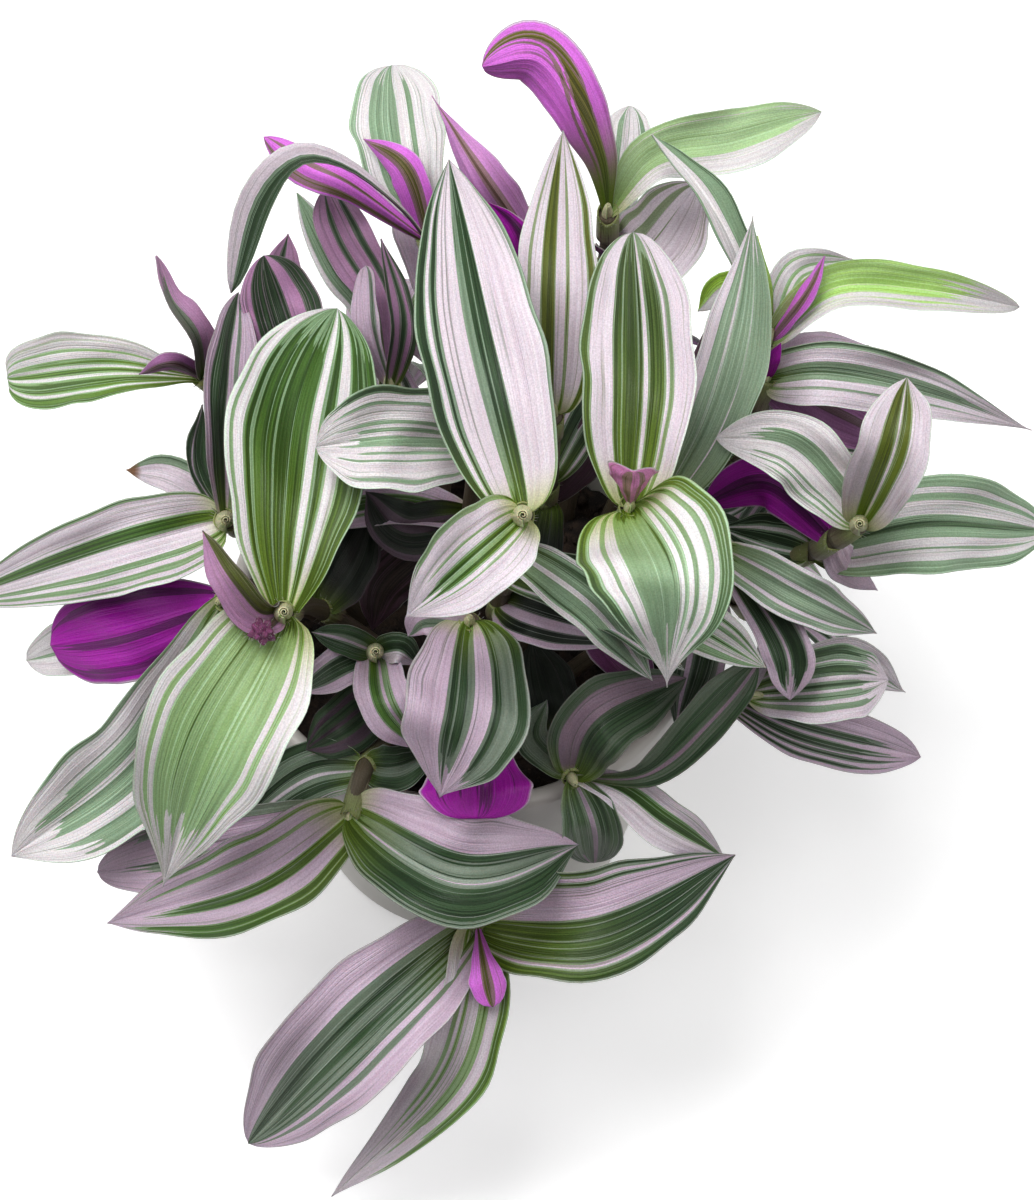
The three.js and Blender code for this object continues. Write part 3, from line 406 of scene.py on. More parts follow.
# How far the stripes of a slanted look drift across the leaf, in half widths.
SLANT = 1.1
GREENS = {
    "dark": (0.034, 0.066, 0.030),
    # Painted shade: a near-black green for inner leaves that lie in the shade of the leaves round them.
    "night": (0.012, 0.020, 0.012),
    "grey": (0.075, 0.125, 0.065),
    "mid": (0.062, 0.130, 0.026),
    "moss": (0.072, 0.112, 0.034),
    "olive": (0.100, 0.120, 0.022),
    "light": (0.130, 0.225, 0.055),
    "sage": (0.300, 0.430, 0.190),
    "lime": (0.340, 0.540, 0.075),
}
PALES = {
    "white": (0.820, 0.805, 0.800),
    "blush": (0.760, 0.700, 0.745),
    "lilac": (0.600, 0.490, 0.585),
    # Painted shade: lilac darkened for leaves that lie in the shade of the leaves above them.
    "ash": (0.300, 0.225, 0.275),
    "pink": (0.420, 0.250, 0.385),
    "rose": (0.500, 0.290, 0.460),
    # Painted shade: a near-black pale for inner leaves that lie in the shade of the leaves round them.
    "dusk": (0.120, 0.085, 0.110),
}
UNDERSIDES = {
    "vivid": ((0.400, 0.008, 0.400), (0.050, 0.002, 0.050)),
    "orchid": ((0.800, 0.240, 0.830), (0.130, 0.120, 0.024)),
    "lavender": ((0.700, 0.350, 0.690), (0.200, 0.120, 0.090)),
    "mauve": ((0.430, 0.210, 0.410), (0.075, 0.050, 0.035)),
    "purple": ((0.240, 0.075, 0.210), (0.045, 0.030, 0.025)),
    "rosy": ((0.680, 0.280, 0.540), (0.150, 0.110, 0.050)),
    "faint": ((0.900, 0.740, 0.860), (0.400, 0.320, 0.380)),
}
FRESH_GREEN = (0.120, 0.180, 0.014)
FRESH_PALE = (0.520, 0.580, 0.240)
DRY_BROWN = (0.130, 0.070, 0.035)
STEM_GREEN = (0.085, 0.075, 0.040)
STEM_PALE = (0.220, 0.120, 0.150)
SHEATH_GREEN = (0.200, 0.215, 0.080)
SHEATH_FOOT = (0.140, 0.088, 0.076)
SHEATH_PALE = (0.440, 0.400, 0.280)
ROLLED_PALE = (0.660, 0.660, 0.420)
BUD_DARK = (0.100, 0.030, 0.070)
BUD_PALE = (0.340, 0.100, 0.250)
HAIR_DARK = (0.600, 0.550, 0.550)
HAIR_PALE = (0.700, 0.650, 0.650)

# The leaves that the photograph doesn't show take one of these by a seeded draw.
HIDDEN_LOOKS = [
    "199180719 dark lilac",
    "0180271081 dark blush",
    "99910281999 mid lilac",
    "2193721 grey white",
    "999902181 mid lilac",
    "0281990 dark lilac",
]


# ---- small helpers
def add_object(name, data):
    made = bpy.data.objects.new(name, data)
    bpy.context.scene.collection.objects.link(made)
    return made


def smooth_shading(mesh):
    mesh.polygons.foreach_set("use_smooth", np.ones(len(mesh.polygons), bool))


# ---- points and curves
def unit(vectors):
    return vectors / np.linalg.norm(vectors, axis=-1, keepdims=True)


def smooth(low, high, value):
    """A soft step from 0 at low to 1 at high."""
    x = np.clip((value - low) / (high - low), 0, 1)
    return x * x * (3 - 2 * x)


def sight(point):
    """The place in millimetres of a sight point."""
    column, row, depth = point
    across = (column - VIEW_COLUMNS / 2) * VIEW_SCALE
    up = (VIEW_ROWS / 2 - row) * VIEW_SCALE
    shrink = 1 - depth / VIEW_DISTANCE
    return VIEW_CENTRE + across * shrink * VIEW_RIGHT + up * shrink * VIEW_UP + depth * VIEW_TOWARD


def curve_points(points, places):
    """A uniform Catmull-Rom curve through the points, at places from 0 to 1."""
    points = np.asarray(points, float)
    spans = len(points) - 1
    first = 2 * points[0] - points[1]
    last = 2 * points[-1] - points[-2]
    padded = np.vstack([first, points, last])
    places = np.clip(np.atleast_1d(places), 0, 1)
    span = np.minimum(np.floor(places * spans).astype(int), spans - 1)
    f = (places * spans - span)[:, None]
    a, b, c, d = (padded[span + k] for k in range(4))
    before = a * (-f + 2 * f**2 - f**3) + b * (2 - 5 * f**2 + 3 * f**3)
    after = c * (f + 4 * f**2 - 3 * f**3) + d * (-(f**2) + f**3)
    return (before + after) / 2


def curve_tangents(points, places):
    step = 0.002
    places = np.atleast_1d(places)
    after = curve_points(points, np.minimum(1, places + step))
    return unit(after - curve_points(points, np.maximum(0, places - step)))


def toward_eye(points):
    return unit(EYE - points)


# ---- collecting a piece's mesh
class Maker:
    """Vertices, faces and colours of one piece, gathered bit by bit."""

    def __init__(self):
        self.vertices = []
        self.faces = []
        self.values = {"stripe_place": [], "leaf_green": [], "leaf_pale": [], "paleness": []}
        self.count = 0

    def add(self, vertices, faces, place, green, pale, paleness):
        size = len(vertices)
        self.vertices.append(vertices)
        self.faces.extend([tuple(corner + self.count for corner in face) for face in faces])
        self.values["stripe_place"].append(np.broadcast_to(place, (size, 3)))
        self.values["leaf_green"].append(np.broadcast_to(green, (size, 3)))
        self.values["leaf_pale"].append(np.broadcast_to(pale, (size, 3)))
        self.values["paleness"].append(np.broadcast_to(paleness, (size,)))
        self.count += size

    def piece(self, name, material):
        mesh = bpy.data.meshes.new(name)
        vertices = np.vstack(self.vertices) * MM
        mesh.from_pydata(vertices.tolist(), [], self.faces)
        for key in ("stripe_place", "leaf_green", "leaf_pale"):
            layer = mesh.attributes.new(key, "FLOAT_VECTOR", "POINT")
            layer.data.foreach_set("vector", np.vstack(self.values[key]).astype(np.float32).ravel())
        layer = mesh.attributes.new("paleness", "FLOAT", "POINT")
        layer.data.foreach_set("value", np.concatenate(self.values["paleness"]).astype(np.float32))
        smooth_shading(mesh)
        mesh.materials.append(material)
        mesh.validate()
        return add_object(name, mesh)


def sheet_faces(rows, columns):
    """Faces of a thin closed sheet: an upper grid, a lower grid, and the rim between them."""
    lower = rows * columns
    faces = []
    for row in range(rows - 1):
        for column in range(columns - 1):
            a = row * columns + column
            b, c, d = a + 1, a + columns + 1, a + columns
            faces.append((a, b, c, d))
            faces.append((lower + d, lower + c, lower + b, lower + a))
    loop = list(range(columns))
    loop += [row * columns + columns - 1 for row in range(1, rows)]
    loop += [(rows - 1) * columns + column for column in range(columns - 2, -1, -1)]
    loop += [row * columns for row in range(rows - 2, 0, -1)]
    for here, there in zip(loop, loop[1:] + loop[:1]):
        faces.append((there, here, lower + here, lower + there))
    return faces


def add_sheet(maker, upper, lower, across, along, seed, green, pale, paleness):
    """A thin closed sheet between two grids; across and along place its points on the leaf."""
    place = np.empty((len(along), len(across), 3))
    place[..., 0] = across[None, :]
    place[..., 1] = along[:, None]
    place[..., 2] = seed
    vertices = np.vstack([np.reshape(upper, (-1, 3)), np.reshape(lower, (-1, 3))])
    places = np.vstack([place.reshape(-1, 3)] * 2)
    maker.add(vertices, sheet_faces(len(along), len(across)), places, green, pale, paleness)


def add_tube(maker, rings, radii, seed, green, pale, paleness, sides=STEM_SIDES):
    """A closed tube through the rings."""
    rings = np.asarray(rings, float)
    side = np.array([1.0, 0.0, 0.0])
    vertices = []
    places = []
    for order, centre in enumerate(rings):
        along = unit(rings[min(len(rings) - 1, order + 1)] - rings[max(0, order - 1)])
        side = unit(side - along * side.dot(along))
        other = np.cross(along, side)
        for corner in range(sides):
            angle = 2 * math.pi * corner / sides
            spoke = side * math.cos(angle) + other * math.sin(angle)
            vertices.append(centre + radii[order] * spoke)
            places.append([abs(2 * corner / sides - 1), order / len(rings), seed])
    faces = []
    for ring in range(len(rings) - 1):
        for corner in range(sides):
            a = ring * sides + corner
            b = ring * sides + (corner + 1) % sides
            faces.append((a, b, b + sides, a + sides))
    faces.append(tuple(range(sides - 1, -1, -1)))
    faces.append(tuple((len(rings) - 1) * sides + corner for corner in range(sides)))
    maker.add(np.array(vertices), faces, np.array(places), green, pale, paleness)


# ---- leaves
@dataclass
class Leaf:
    """A blade along its midrib's points. It faces the viewer, or one way where face says so."""

    points: list
    width: float
    look: dict
    face: object = None
    roll: float = 0
    roll_at_tip: float = 0
    cup: float = USUAL_CUP
    belly: float = USUAL_BELLY
    point: float = USUAL_POINT


def read_look(words):
    """A look's pattern, its colours by kind, and which of the look words it has."""
    pattern, *names = words.split()
    look = {"pattern": pattern, "green": "dark", "pale": "lilac", "under": None}
    look |= {word: word in names for word in LOOK_WORDS}
    for name in names:
        for kind, palette in (("green", GREENS), ("pale", PALES), ("under", UNDERSIDES)):
            if name in palette:
                look[kind] = name
    return look


def half_widths(leaf, t):
    """An oval with its tip drawn out, on a short stalk that clasps the stem."""
    q = t ** (math.log(0.5) / math.log(leaf.belly))
    oval = np.maximum(0, 1 - (2 * q - 1) ** 2) ** (0.5 + leaf.point * t)
    sheath = 0.2 * (1 - t) ** 4
    return np.maximum(LEAST_HALF_WIDTH, leaf.width / 2 * np.hypot(oval, sheath))


def leaf_frames(leaf, t):
    """The midrib's points, and the side and upper-face directions there."""
    middle = curve_points(leaf.points, t)
    along = curve_tangents(leaf.points, t)
    toward = toward_eye(middle) if leaf.face is None else np.tile(leaf.face, (len(middle), 1))
    face = unit(toward - along * np.sum(toward * along, axis=1, keepdims=True))
    side = np.cross(along, face)
    roll = np.radians(leaf.roll + (leaf.roll_at_tip - leaf.roll) * t)[:, None]
    normal = face * np.cos(roll) + side * np.sin(roll)
    across = side * np.cos(roll) - face * np.sin(roll)
    return middle, across, normal


def pattern_levels(leaf, across, s, t, draw):
    """How pale each point of the leaf is, from its pattern of stripes."""
    digits = np.array([int(digit) for digit in leaf.look["pattern"]])
    levels = digits / DIGITS_PER_LEVEL + LEVEL_OF_ZERO
    sideways = across[len(across) // 2]
    right = sideways.dot(VIEW_RIGHT)
    up = sideways.dot(VIEW_UP)
    reversed_order = right < 0 if abs(right) >= abs(up) else up > 0
    if reversed_order:
        levels = levels[::-1]
    drift = 0.03 * np.sin(2 * math.pi * (t[:, None] * draw.uniform(0.4, 0.8) + draw.random()))
    if leaf.look["slanted"]:
        drift = drift + SLANT * smooth(0.3, 0.95, t[:, None])
    across_place = (np.clip(s[None, :] + drift * (1 - s[None, :] ** 2), -1, 1) + 1) / 2
    centres = (np.arange(len(levels)) + 0.5) / len(levels)
    level = np.interp(across_place, centres, levels)
    first_end = TIPPED_STRIPE_END if leaf.look["tipped"] else STRIPE_END
    last_end = first_end + STRIPE_END_SPREAD
    stripe_ends = np.array([draw.uniform(first_end, last_end) for _ in s])[None, :]
    tip_paleness = 1.1 if leaf.look["tipped"] else draw.uniform(0.1, 0.5)
    tip = smooth(0, STRIPE_FADE, t[:, None] - stripe_ends) * tip_paleness
    base = smooth(0.12, 0.0, t)[:, None] * 0.35
    return level + tip - base


def blend_colours(first, second, share):
    share = np.asarray(share)[..., None]
    return np.asarray(first) * (1 - share) + np.asarray(second) * share


def leaf_colours(leaf, s, t, draw):
    """Green and pale colours of the upper face and of the underside, row by row."""
    fresh = leaf.look["fresh"]
    grown = smooth(-0.1, 0.75 if fresh else 0.34, t)
    cleared = smooth(-0.04, 0.22 if fresh else 0.13, t)
    flushed = smooth(0.08, 0.5, t) if fresh else cleared
    shade = draw.uniform(0.88, 1.12)
    green = blend_colours(FRESH_GREEN, np.array(GREENS[leaf.look["green"]]) * shade, grown)
    pale = blend_colours(FRESH_PALE, PALES[leaf.look["pale"]], cleared)
    under = UNDERSIDES[leaf.look["under"] or draw.choice(["purple", "purple", "vivid"])]
    base_pale = np.array(FRESH_GREEN) * 1.3 if fresh else np.array(under[0]) * 0.8
    base_green = np.array(FRESH_GREEN) * 0.7 if fresh else under[1]
    under_pale = blend_colours(base_pale, under[0], flushed)
    under_green = blend_colours(base_green, under[1], flushed)
    if leaf.look["dried"]:
        dry = smooth(0.84, 0.9, t)
        green = green * (1 - dry[:, None]) + np.array(DRY_BROWN) * dry[:, None]
        pale = pale * (1 - dry[:, None]) + np.array(DRY_BROWN) * 2 * dry[:, None]
    spread = [np.repeat(rows, len(s), axis=0) for rows in (green, pale, under_green, under_pale)]
    rim = np.tile(smooth(0.93, 0.99, np.abs(s)), len(t))
    spread[3] = blend_colours(spread[3], PALES["blush"], 0.7 * rim)
    return spread


def leaf_sheet(leaf, s, t, draw):
    """The upper and lower points of a blade, and its side directions. s runs from -1 to 1 across
    the blade and t from 0 to 1 along it."""
    middle, across, normal = leaf_frames(leaf, t)
    half = half_widths(leaf, t)[:, None]
    cup = np.radians(leaf.cup * (1.25 - 0.5 * t))[:, None]
    side = np.abs(s)[None, :]
    swell = np.sin(math.pi * t)[:, None]
    waves = np.zeros((len(t), len(s)))
    for hand in (-1, 1):
        turns = draw.uniform(1.2, 2.6)
        phase = draw.random()
        wave = np.sin(2 * math.pi * (turns * t[:, None] + phase))
        waves += np.where(np.sign(s)[None, :] == hand, wave, 0)
    ripple = RIPPLE_SHARE * half * side**2.2 * swell * waves
    groove = -GROOVE_DEPTH * np.exp(-((s / GROOVE_SHARE) ** 2))[None, :] * np.minimum(half / 6, 1)
    pleats = PLEAT_HEIGHT * np.cos(s * PLEAT_ANGLE + draw.random())[None, :]
    pleats = pleats * np.minimum(half / 8, 1) * swell
    buckle = BUCKLE_SHARE * half * np.sin(2 * math.pi * (t[:, None] * 2.3 + s[None, :] * 0.8 + draw.random()))
    fringe = draw.uniform(0.02, 0.05) * np.sin(2 * math.pi * (t[:, None] * 3.1 + draw.random()))
    fringe = fringe + 0.01 * np.sin(2 * math.pi * (t[:, None] * 5.3 + s[None, :] + draw.random()))
    out = half * s[None, :] * np.cos(cup) * (1 + fringe * np.sign(s)[None, :] * side)
    rise = half * side**1.5 * np.sin(cup) + ripple + groove + pleats + buckle * swell
    centre = middle[:, None, :] + across[:, None, :] * out[..., None]
    centre = centre + normal[:, None, :] * rise[..., None]
    lift = LEAF_THICKNESS / 2 * (0.35 + 0.65 * (1 - s**2))[None, :, None] * normal[:, None, :]
    return centre + lift, centre - lift, across


def add_leaf(maker, leaf, draw):
    rows, columns = next(counts for least, *counts in BLADE_GRIDS if leaf.width >= least)
    u = np.linspace(0, 1, rows)
    t = 0.5 * u + 0.25 * (1 - np.cos(math.pi * u))
    v = np.linspace(-1, 1, columns)
    s = 0.6 * v + 0.4 * np.sin(v * math.pi / 2)
    seed = draw.random() * 50
    upper, lower, across = leaf_sheet(leaf, s, t, draw)
    level = pattern_levels(leaf, across, s, t, draw).ravel()
    green, pale, under_green, under_pale = leaf_colours(leaf, s, t, draw)
    paleness = np.concatenate([level, level * 0.65 + 0.25])
    both_greens = np.vstack([green, under_green])
    both_pales = np.vstack([pale, under_pale])
    add_sheet(maker, upper, lower, s, t, seed, both_greens, both_pales, paleness)


# ---- sheaths, young leaves, buds
def add_sheath(maker, end, along, outward, draw):
    """The tube that a leaf's base forms round the stem, open on the side away from the leaf."""
    rows = 8
    columns = 25
    outward = unit(outward - along * outward.dot(along))
    other = np.cross(along, outward)
    angles = np.radians(np.linspace(-SHEATH_HALF_ANGLE, SHEATH_HALF_ANGLE, columns))
    spokes = np.cos(angles)[:, None] * outward + np.sin(angles)[:, None] * other
    heights = np.linspace(0, 1, rows)
    layers = []
    for skin in (0.0, -SHEATH_WALL):
        points = []
        for height in heights:
            radius = SHEATH_RADIUS + (SHEATH_MOUTH_RADIUS - SHEATH_RADIUS) * height**2 + skin
            mouth = SHEATH_LIP * height * np.cos(angles)
            rise = (height - 1) * SHEATH_LENGTH + mouth
            points.append(end + spokes * radius + rise[:, None] * along)
        layers.append(points)
    greening = smooth(0.2, 0.8, np.tile(np.repeat(heights, columns), 2))
    colour = blend_colours(SHEATH_FOOT, SHEATH_GREEN, greening)
    seed = draw.random() * 50
    paleness = draw.uniform(0.25, 0.5)
    across = np.linspace(-1, 1, columns)
    add_sheet(maker, *layers, across, heights, seed, colour, SHEATH_PALE, paleness)
    for order in range(0, columns, 2):
        add_hair(maker, layers[0][-1][order], along * 0.8 + spokes[order], SHEATH_HAIR)


def add_hair(maker, root, direction, length):
    """A thin three-sided spike."""
    along = unit(direction)
    side = unit(np.cross(along, [0.3, 0.5, 0.8]))
    other = np.cross(along, side)
    spokes = [side * math.cos(angle) + other * math.sin(angle) for angle in (0, 2.1, 4.2)]
    corners = [root + HAIR_THICKNESS * spoke for spoke in spokes]
    vertices = np.array([*corners, root + along * length])
    faces = [(2, 1, 0), (0, 1, 3), (1, 2, 3), (2, 0, 3)]
    maker.add(vertices, faces, (0, 0, 0), HAIR_DARK, HAIR_PALE, 0.9)


def add_rolled_leaf(maker, base, along, length, widest, draw):
    """The young leaf in the heart of a shoot, still rolled up like a scroll."""
    rows = 14
    columns = 55
    side = unit(np.cross(along, [0.2, 0.4, 0.9]))
    other = np.cross(along, side)
    angles = np.linspace(0, 2 * math.pi * ROLLED_LEAF_TURNS, columns)
    reach = angles / angles[-1]
    heights = np.linspace(0, 1, rows)
    ring = np.cos(angles)[:, None] * side + np.sin(angles)[:, None] * other
    layers = []
    for skin in (ROLLED_LEAF_THICKNESS / 2, -ROLLED_LEAF_THICKNESS / 2):
        points = []
        for height in heights:
            taper = 1 - 0.55 * height**1.5
            radius = (ROLLED_LEAF_CORE + (widest - ROLLED_LEAF_CORE) * reach) * taper + skin
            rise = height * length * (1 - 0.22 * reach)
            points.append(base + ring * radius[:, None] + rise[:, None] * along)
        layers.append(points)
    seed = draw.random() * 50
    add_sheet(maker, *layers, 2 * reach - 1, heights, seed, FRESH_GREEN, ROLLED_PALE, 0.85)


def add_buds(maker, centre, base, draw):
    """A tuft of small hairy flower buds on a short stalk."""
    stalk = np.linspace(0, 1, 6)[:, None] * (centre - base) + base
    add_tube(maker, stalk, [BUD_STALK_RADIUS] * 6, 3, STEM_GREEN, STEM_PALE, 0.6, sides=8)
    toward = toward_eye(centre)
    side = unit(np.cross(toward, [0.1, 1, 0.2]))
    other = np.cross(toward, side)
    heights = np.linspace(0, BUD_LENGTH, 8)
    bulges = [math.sin(math.pi * min(1, 0.08 + 0.92 * height / BUD_LENGTH)) for height in heights]
    radii = [BUD_RADIUS * bulge ** 0.7 + 0.05 for bulge in bulges]
    for order in range(BUDS):
        polar = 0.25 + 1.35 * order / (BUDS - 1)
        angle = order * GOLDEN_TURN
        spoke = side * math.cos(angle) + other * math.sin(angle)
        direction = unit(toward * math.cos(polar) + spoke * math.sin(polar))
        rings = [centre + direction * height for height in heights]
        add_tube(maker, rings, radii, order, BUD_DARK, BUD_PALE, 0.7, sides=8)
        for _ in range(HAIRS_PER_BUD):
            height = draw.uniform(1, 3.4)
            flat = unit(np.array([draw.uniform(-1, 1) for _ in range(3)]))
            add_hair(maker, centre + direction * height + flat * 0.7, flat + direction, BUD_HAIR)


# ---- shoots
def stem_path(root, stem_points):
    """The stem's points, after its foot in the soil and a collar just above it."""
    foot = np.array([root[0], root[1], SOIL_TOP - STEM_DEPTH_IN_SOIL], float)
    collar = np.array([root[0], root[1], SOIL_TOP + STEM_STRAIGHT_ABOVE_SOIL], float)
    return [foot, collar, *stem_points]


def stem_place(path, place):
    """The place on the whole path of a place from 0 at the collar to 1 at the end."""
    spans = len(path) - 1
    return (1 + place * (spans - 1)) / spans


def add_stem(maker, path, draw):
    """A jointed stem, a little thicker at each of its nodes."""
    spans = len(path) - 1
    length = sum(np.linalg.norm(path[k + 1] - path[k]) for k in range(spans))
    steps = max(8, int(length / STEM_RING_STEP))
    places = np.concatenate([[0], np.linspace(1 / spans, 1, steps)])
    rings = curve_points(path, places)
    swelling = 0.35 * np.exp(-((np.mod(places * spans, 1) - 0.5) / 0.42) ** 2)
    radii = STEM_RADIUS * (1.1 - swelling * 0.5)
    add_tube(maker, rings, radii, draw.random() * 50, STEM_GREEN, STEM_PALE, draw.uniform(0.35, 0.6))


def headed_leaf(base, heading, face, length, width, bends, look):
    """A leaf that leaves its base in a level direction; bends are how far it reaches out,
    how high it rises half way and how low its tip droops, as shares of its length."""
    reach, rise, droop = bends
    middle = base + 0.5 * length * heading + np.array([0, 0, rise * length])
    tip = base + reach * length * heading - np.array([0, 0, droop * length])
    return Leaf([base, middle, tip], width, look, face)


def lower_leaf(path, row, look):
    """A leaf low on a stem, which faces up."""
    place, heading, length, width = row
    angle = math.radians(heading)
    ahead = np.array([math.cos(angle), math.sin(angle), 0])
    base = curve_points(path, stem_place(path, place))[0]
    return headed_leaf(base, ahead, [0.0, 0.0, 1.0], length, width, LOWER_LEAF_BENDS, look)


def sight_leaf(stem_points, row):
    """A leaf that the photograph shows."""
    start, midrib, words, width, roll, roll_at_tip, cup, *form = row
    points = [stem_points[start], *map(sight, midrib)]
    belly, point = form or (USUAL_BELLY, USUAL_POINT)
    return Leaf(points, width, read_look(words), None, roll, roll_at_tip, cup, belly, point)


def add_leaf_with_sheath(maker, leaf, path, place, draw):
    add_leaf(maker, leaf, draw)
    along = curve_tangents(path, place)[0]
    base = curve_points(path, place)[0]
    outward = leaf.points[1] - leaf.points[0]
    add_sheath(maker, base, along, outward + 0.01 * VIEW_TOWARD, draw)


def sight_shoot(name, shoot, material):
    """One of the shoots that the photograph shows."""
    draw = random.Random(name)
    maker = Maker()
    stem, *leaves = shoot
    stem_points = [sight(point) for point in stem["stem"]]
    path = stem_path(stem["root"], stem_points)
    spans = len(path) - 1
    add_stem(maker, path, draw)
    for row in leaves:
        add_leaf_with_sheath(maker, sight_leaf(stem_points, row), path, (row[0] + 2) / spans, draw)
    if "lower" in stem:
        leaf = lower_leaf(path, stem["lower"], read_look(draw.choice(HIDDEN_LOOKS)))
        add_leaf_with_sheath(maker, leaf, path, stem_place(path, stem["lower"][0]), draw)
    end = stem_points[-1]
    if "heart" in stem:
        add_rolled_leaf(maker, end, toward_eye(end), ROLLED_LEAF_LENGTH, ROLLED_LEAF_RADIUS, draw)
    else:
        along = curve_tangents(path, 1)[0]
        add_rolled_leaf(maker, end, along, BUD_LEAF_LENGTH, BUD_LEAF_RADIUS, draw)
    if "buds" in stem:
        add_buds(maker, sight(stem["buds"]), end, draw)
    return maker.piece(name + "_grown", material)


def rear_shoot(row, order, material):
    """One of the low shoots that the photograph doesn't show."""
    direction, reach, height, leaf_length = row
    draw = random.Random(1000 + order)
    maker = Maker()
    angle = math.radians(direction)
    outward = np.array([math.cos(angle), math.sin(angle), 0])
    sideways = np.array([-math.sin(angle), math.cos(angle), 0])
    crest = outward * REAR_CREST_RADIUS + np.array([0, 0, POT_HEIGHT + REAR_CREST_RISE])
    end = outward * reach + np.array([0, 0, height])
    stem_points = [crest, end]
    path = stem_path((outward * REAR_ROOT_RADIUS)[:2], stem_points)
    spans = len(path) - 1
    add_stem(maker, path, draw)
    face = unit(outward * 0.55 + np.array([0, 0, 0.85]))
    for leaf_order, (place, turn, droop, size) in enumerate(REAR_LEAVES):
        hand = 1 if (leaf_order + order) % 2 == 0 else -1
        spread = math.radians(turn) * hand
        length = leaf_length * size
        heading = outward * math.cos(spread) + sideways * math.sin(spread)
        base = curve_points(stem_points, place)[0]
        look = read_look(draw.choice(HIDDEN_LOOKS))
        width = REAR_LEAF_SHAPE * length
        bends = (REAR_LEAF_REACH, REAR_LEAF_RISE, droop)
        leaf = headed_leaf(base, heading, face, length, width, bends, look)
        add_leaf_with_sheath(maker, leaf, path, (place + 2) / spans, draw)
    return maker.piece(f"shoot_rear_{order + 1}_grown", material)


# ---- material helpers
class Nodes:
    """Short forms for adding linked nodes to a material."""

    def __init__(self, name):
        self.material = bpy.data.materials.new(name)
        self.material.use_nodes = True
        self.tree = self.material.node_tree
        self.shader = self.tree.nodes["Principled BSDF"]

    def add(self, kind, **settings):
        node = self.tree.nodes.new(kind)
        for key, value in settings.items():
            setattr(node, key, value)
        return node

    def feed(self, socket, value):
        if isinstance(value, bpy.types.NodeSocket):
            self.tree.links.new(value, socket)
        else:
            socket.default_value = value

    def math(self, operation, first, second=0.0, third=0.0):
        node = self.add("ShaderNodeMath", operation=operation)
        for socket, value in zip(node.inputs, (first, second, third)):
            self.feed(socket, value)
        return node.outputs[0]

    def attribute(self, name):
        return self.add("ShaderNodeAttribute", attribute_name=name)

    def coordinates(self):
        return self.add("ShaderNodeTexCoord").outputs["Object"]

    def noise(self, vector, scale, detail=2.0, roughness=0.5):
        node = self.add("ShaderNodeTexNoise")
        self.feed(node.inputs["Vector"], vector)
        node.inputs["Scale"].default_value = scale
        node.inputs["Detail"].default_value = detail
        node.inputs["Roughness"].default_value = roughness
        return node.outputs["Fac"]

    def ramp(self, value, low, high, to_low=0.0, to_high=1.0):
        node = self.add("ShaderNodeMapRange", interpolation_type="SMOOTHSTEP")
        for socket, given in zip(node.inputs, (value, low, high, to_low, to_high)):
            self.feed(socket, given)
        return node.outputs["Result"]

    def mix(self, share, first, second, blend_type="MIX"):
        node = self.add("ShaderNodeMix", data_type="RGBA", blend_type=blend_type)
        self.feed(node.inputs["Factor"], share)
        self.feed(node.inputs[6], first)
        self.feed(node.inputs[7], second)
        return node.outputs[2]

    def first_number(self, vector):
        node = self.add("ShaderNodeSeparateXYZ")
        self.feed(node.inputs[0], vector)
        return node.outputs[0]

    def streaks(self, place, scales, detail, roughness=0.5):
        """Noise that runs along the leaf: its scales are across, along, and from leaf to leaf."""
        node = self.add("ShaderNodeVectorMath", operation="MULTIPLY")
        self.feed(node.inputs[0], place)
        node.inputs[1].default_value = scales
        return self.noise(node.outputs[0], 1.0, detail, roughness)

    def tint(self, colour, factor):
        """The colour times a factor."""
        return self.mix(1.0, colour, factor, "MULTIPLY")

    def bump(self, height, distance, strength=1.0):
        node = self.add("ShaderNodeBump")
        self.feed(node.inputs["Height"], height)
        node.inputs["Distance"].default_value = distance
        node.inputs["Strength"].default_value = strength
        self.feed(self.shader.inputs["Normal"], node.outputs["Normal"])

    def set(self, **sockets):
        names = {"color": "Base Color", "roughness": "Roughness",
                 "specular": "Specular IOR Level", "subsurface": "Subsurface Weight",
                 "scale": "Subsurface Scale", "emission": "Emission Color",
                 "glow": "Emission Strength"}
        for key, value in sockets.items():
            self.feed(self.shader.inputs[names[key]], value)


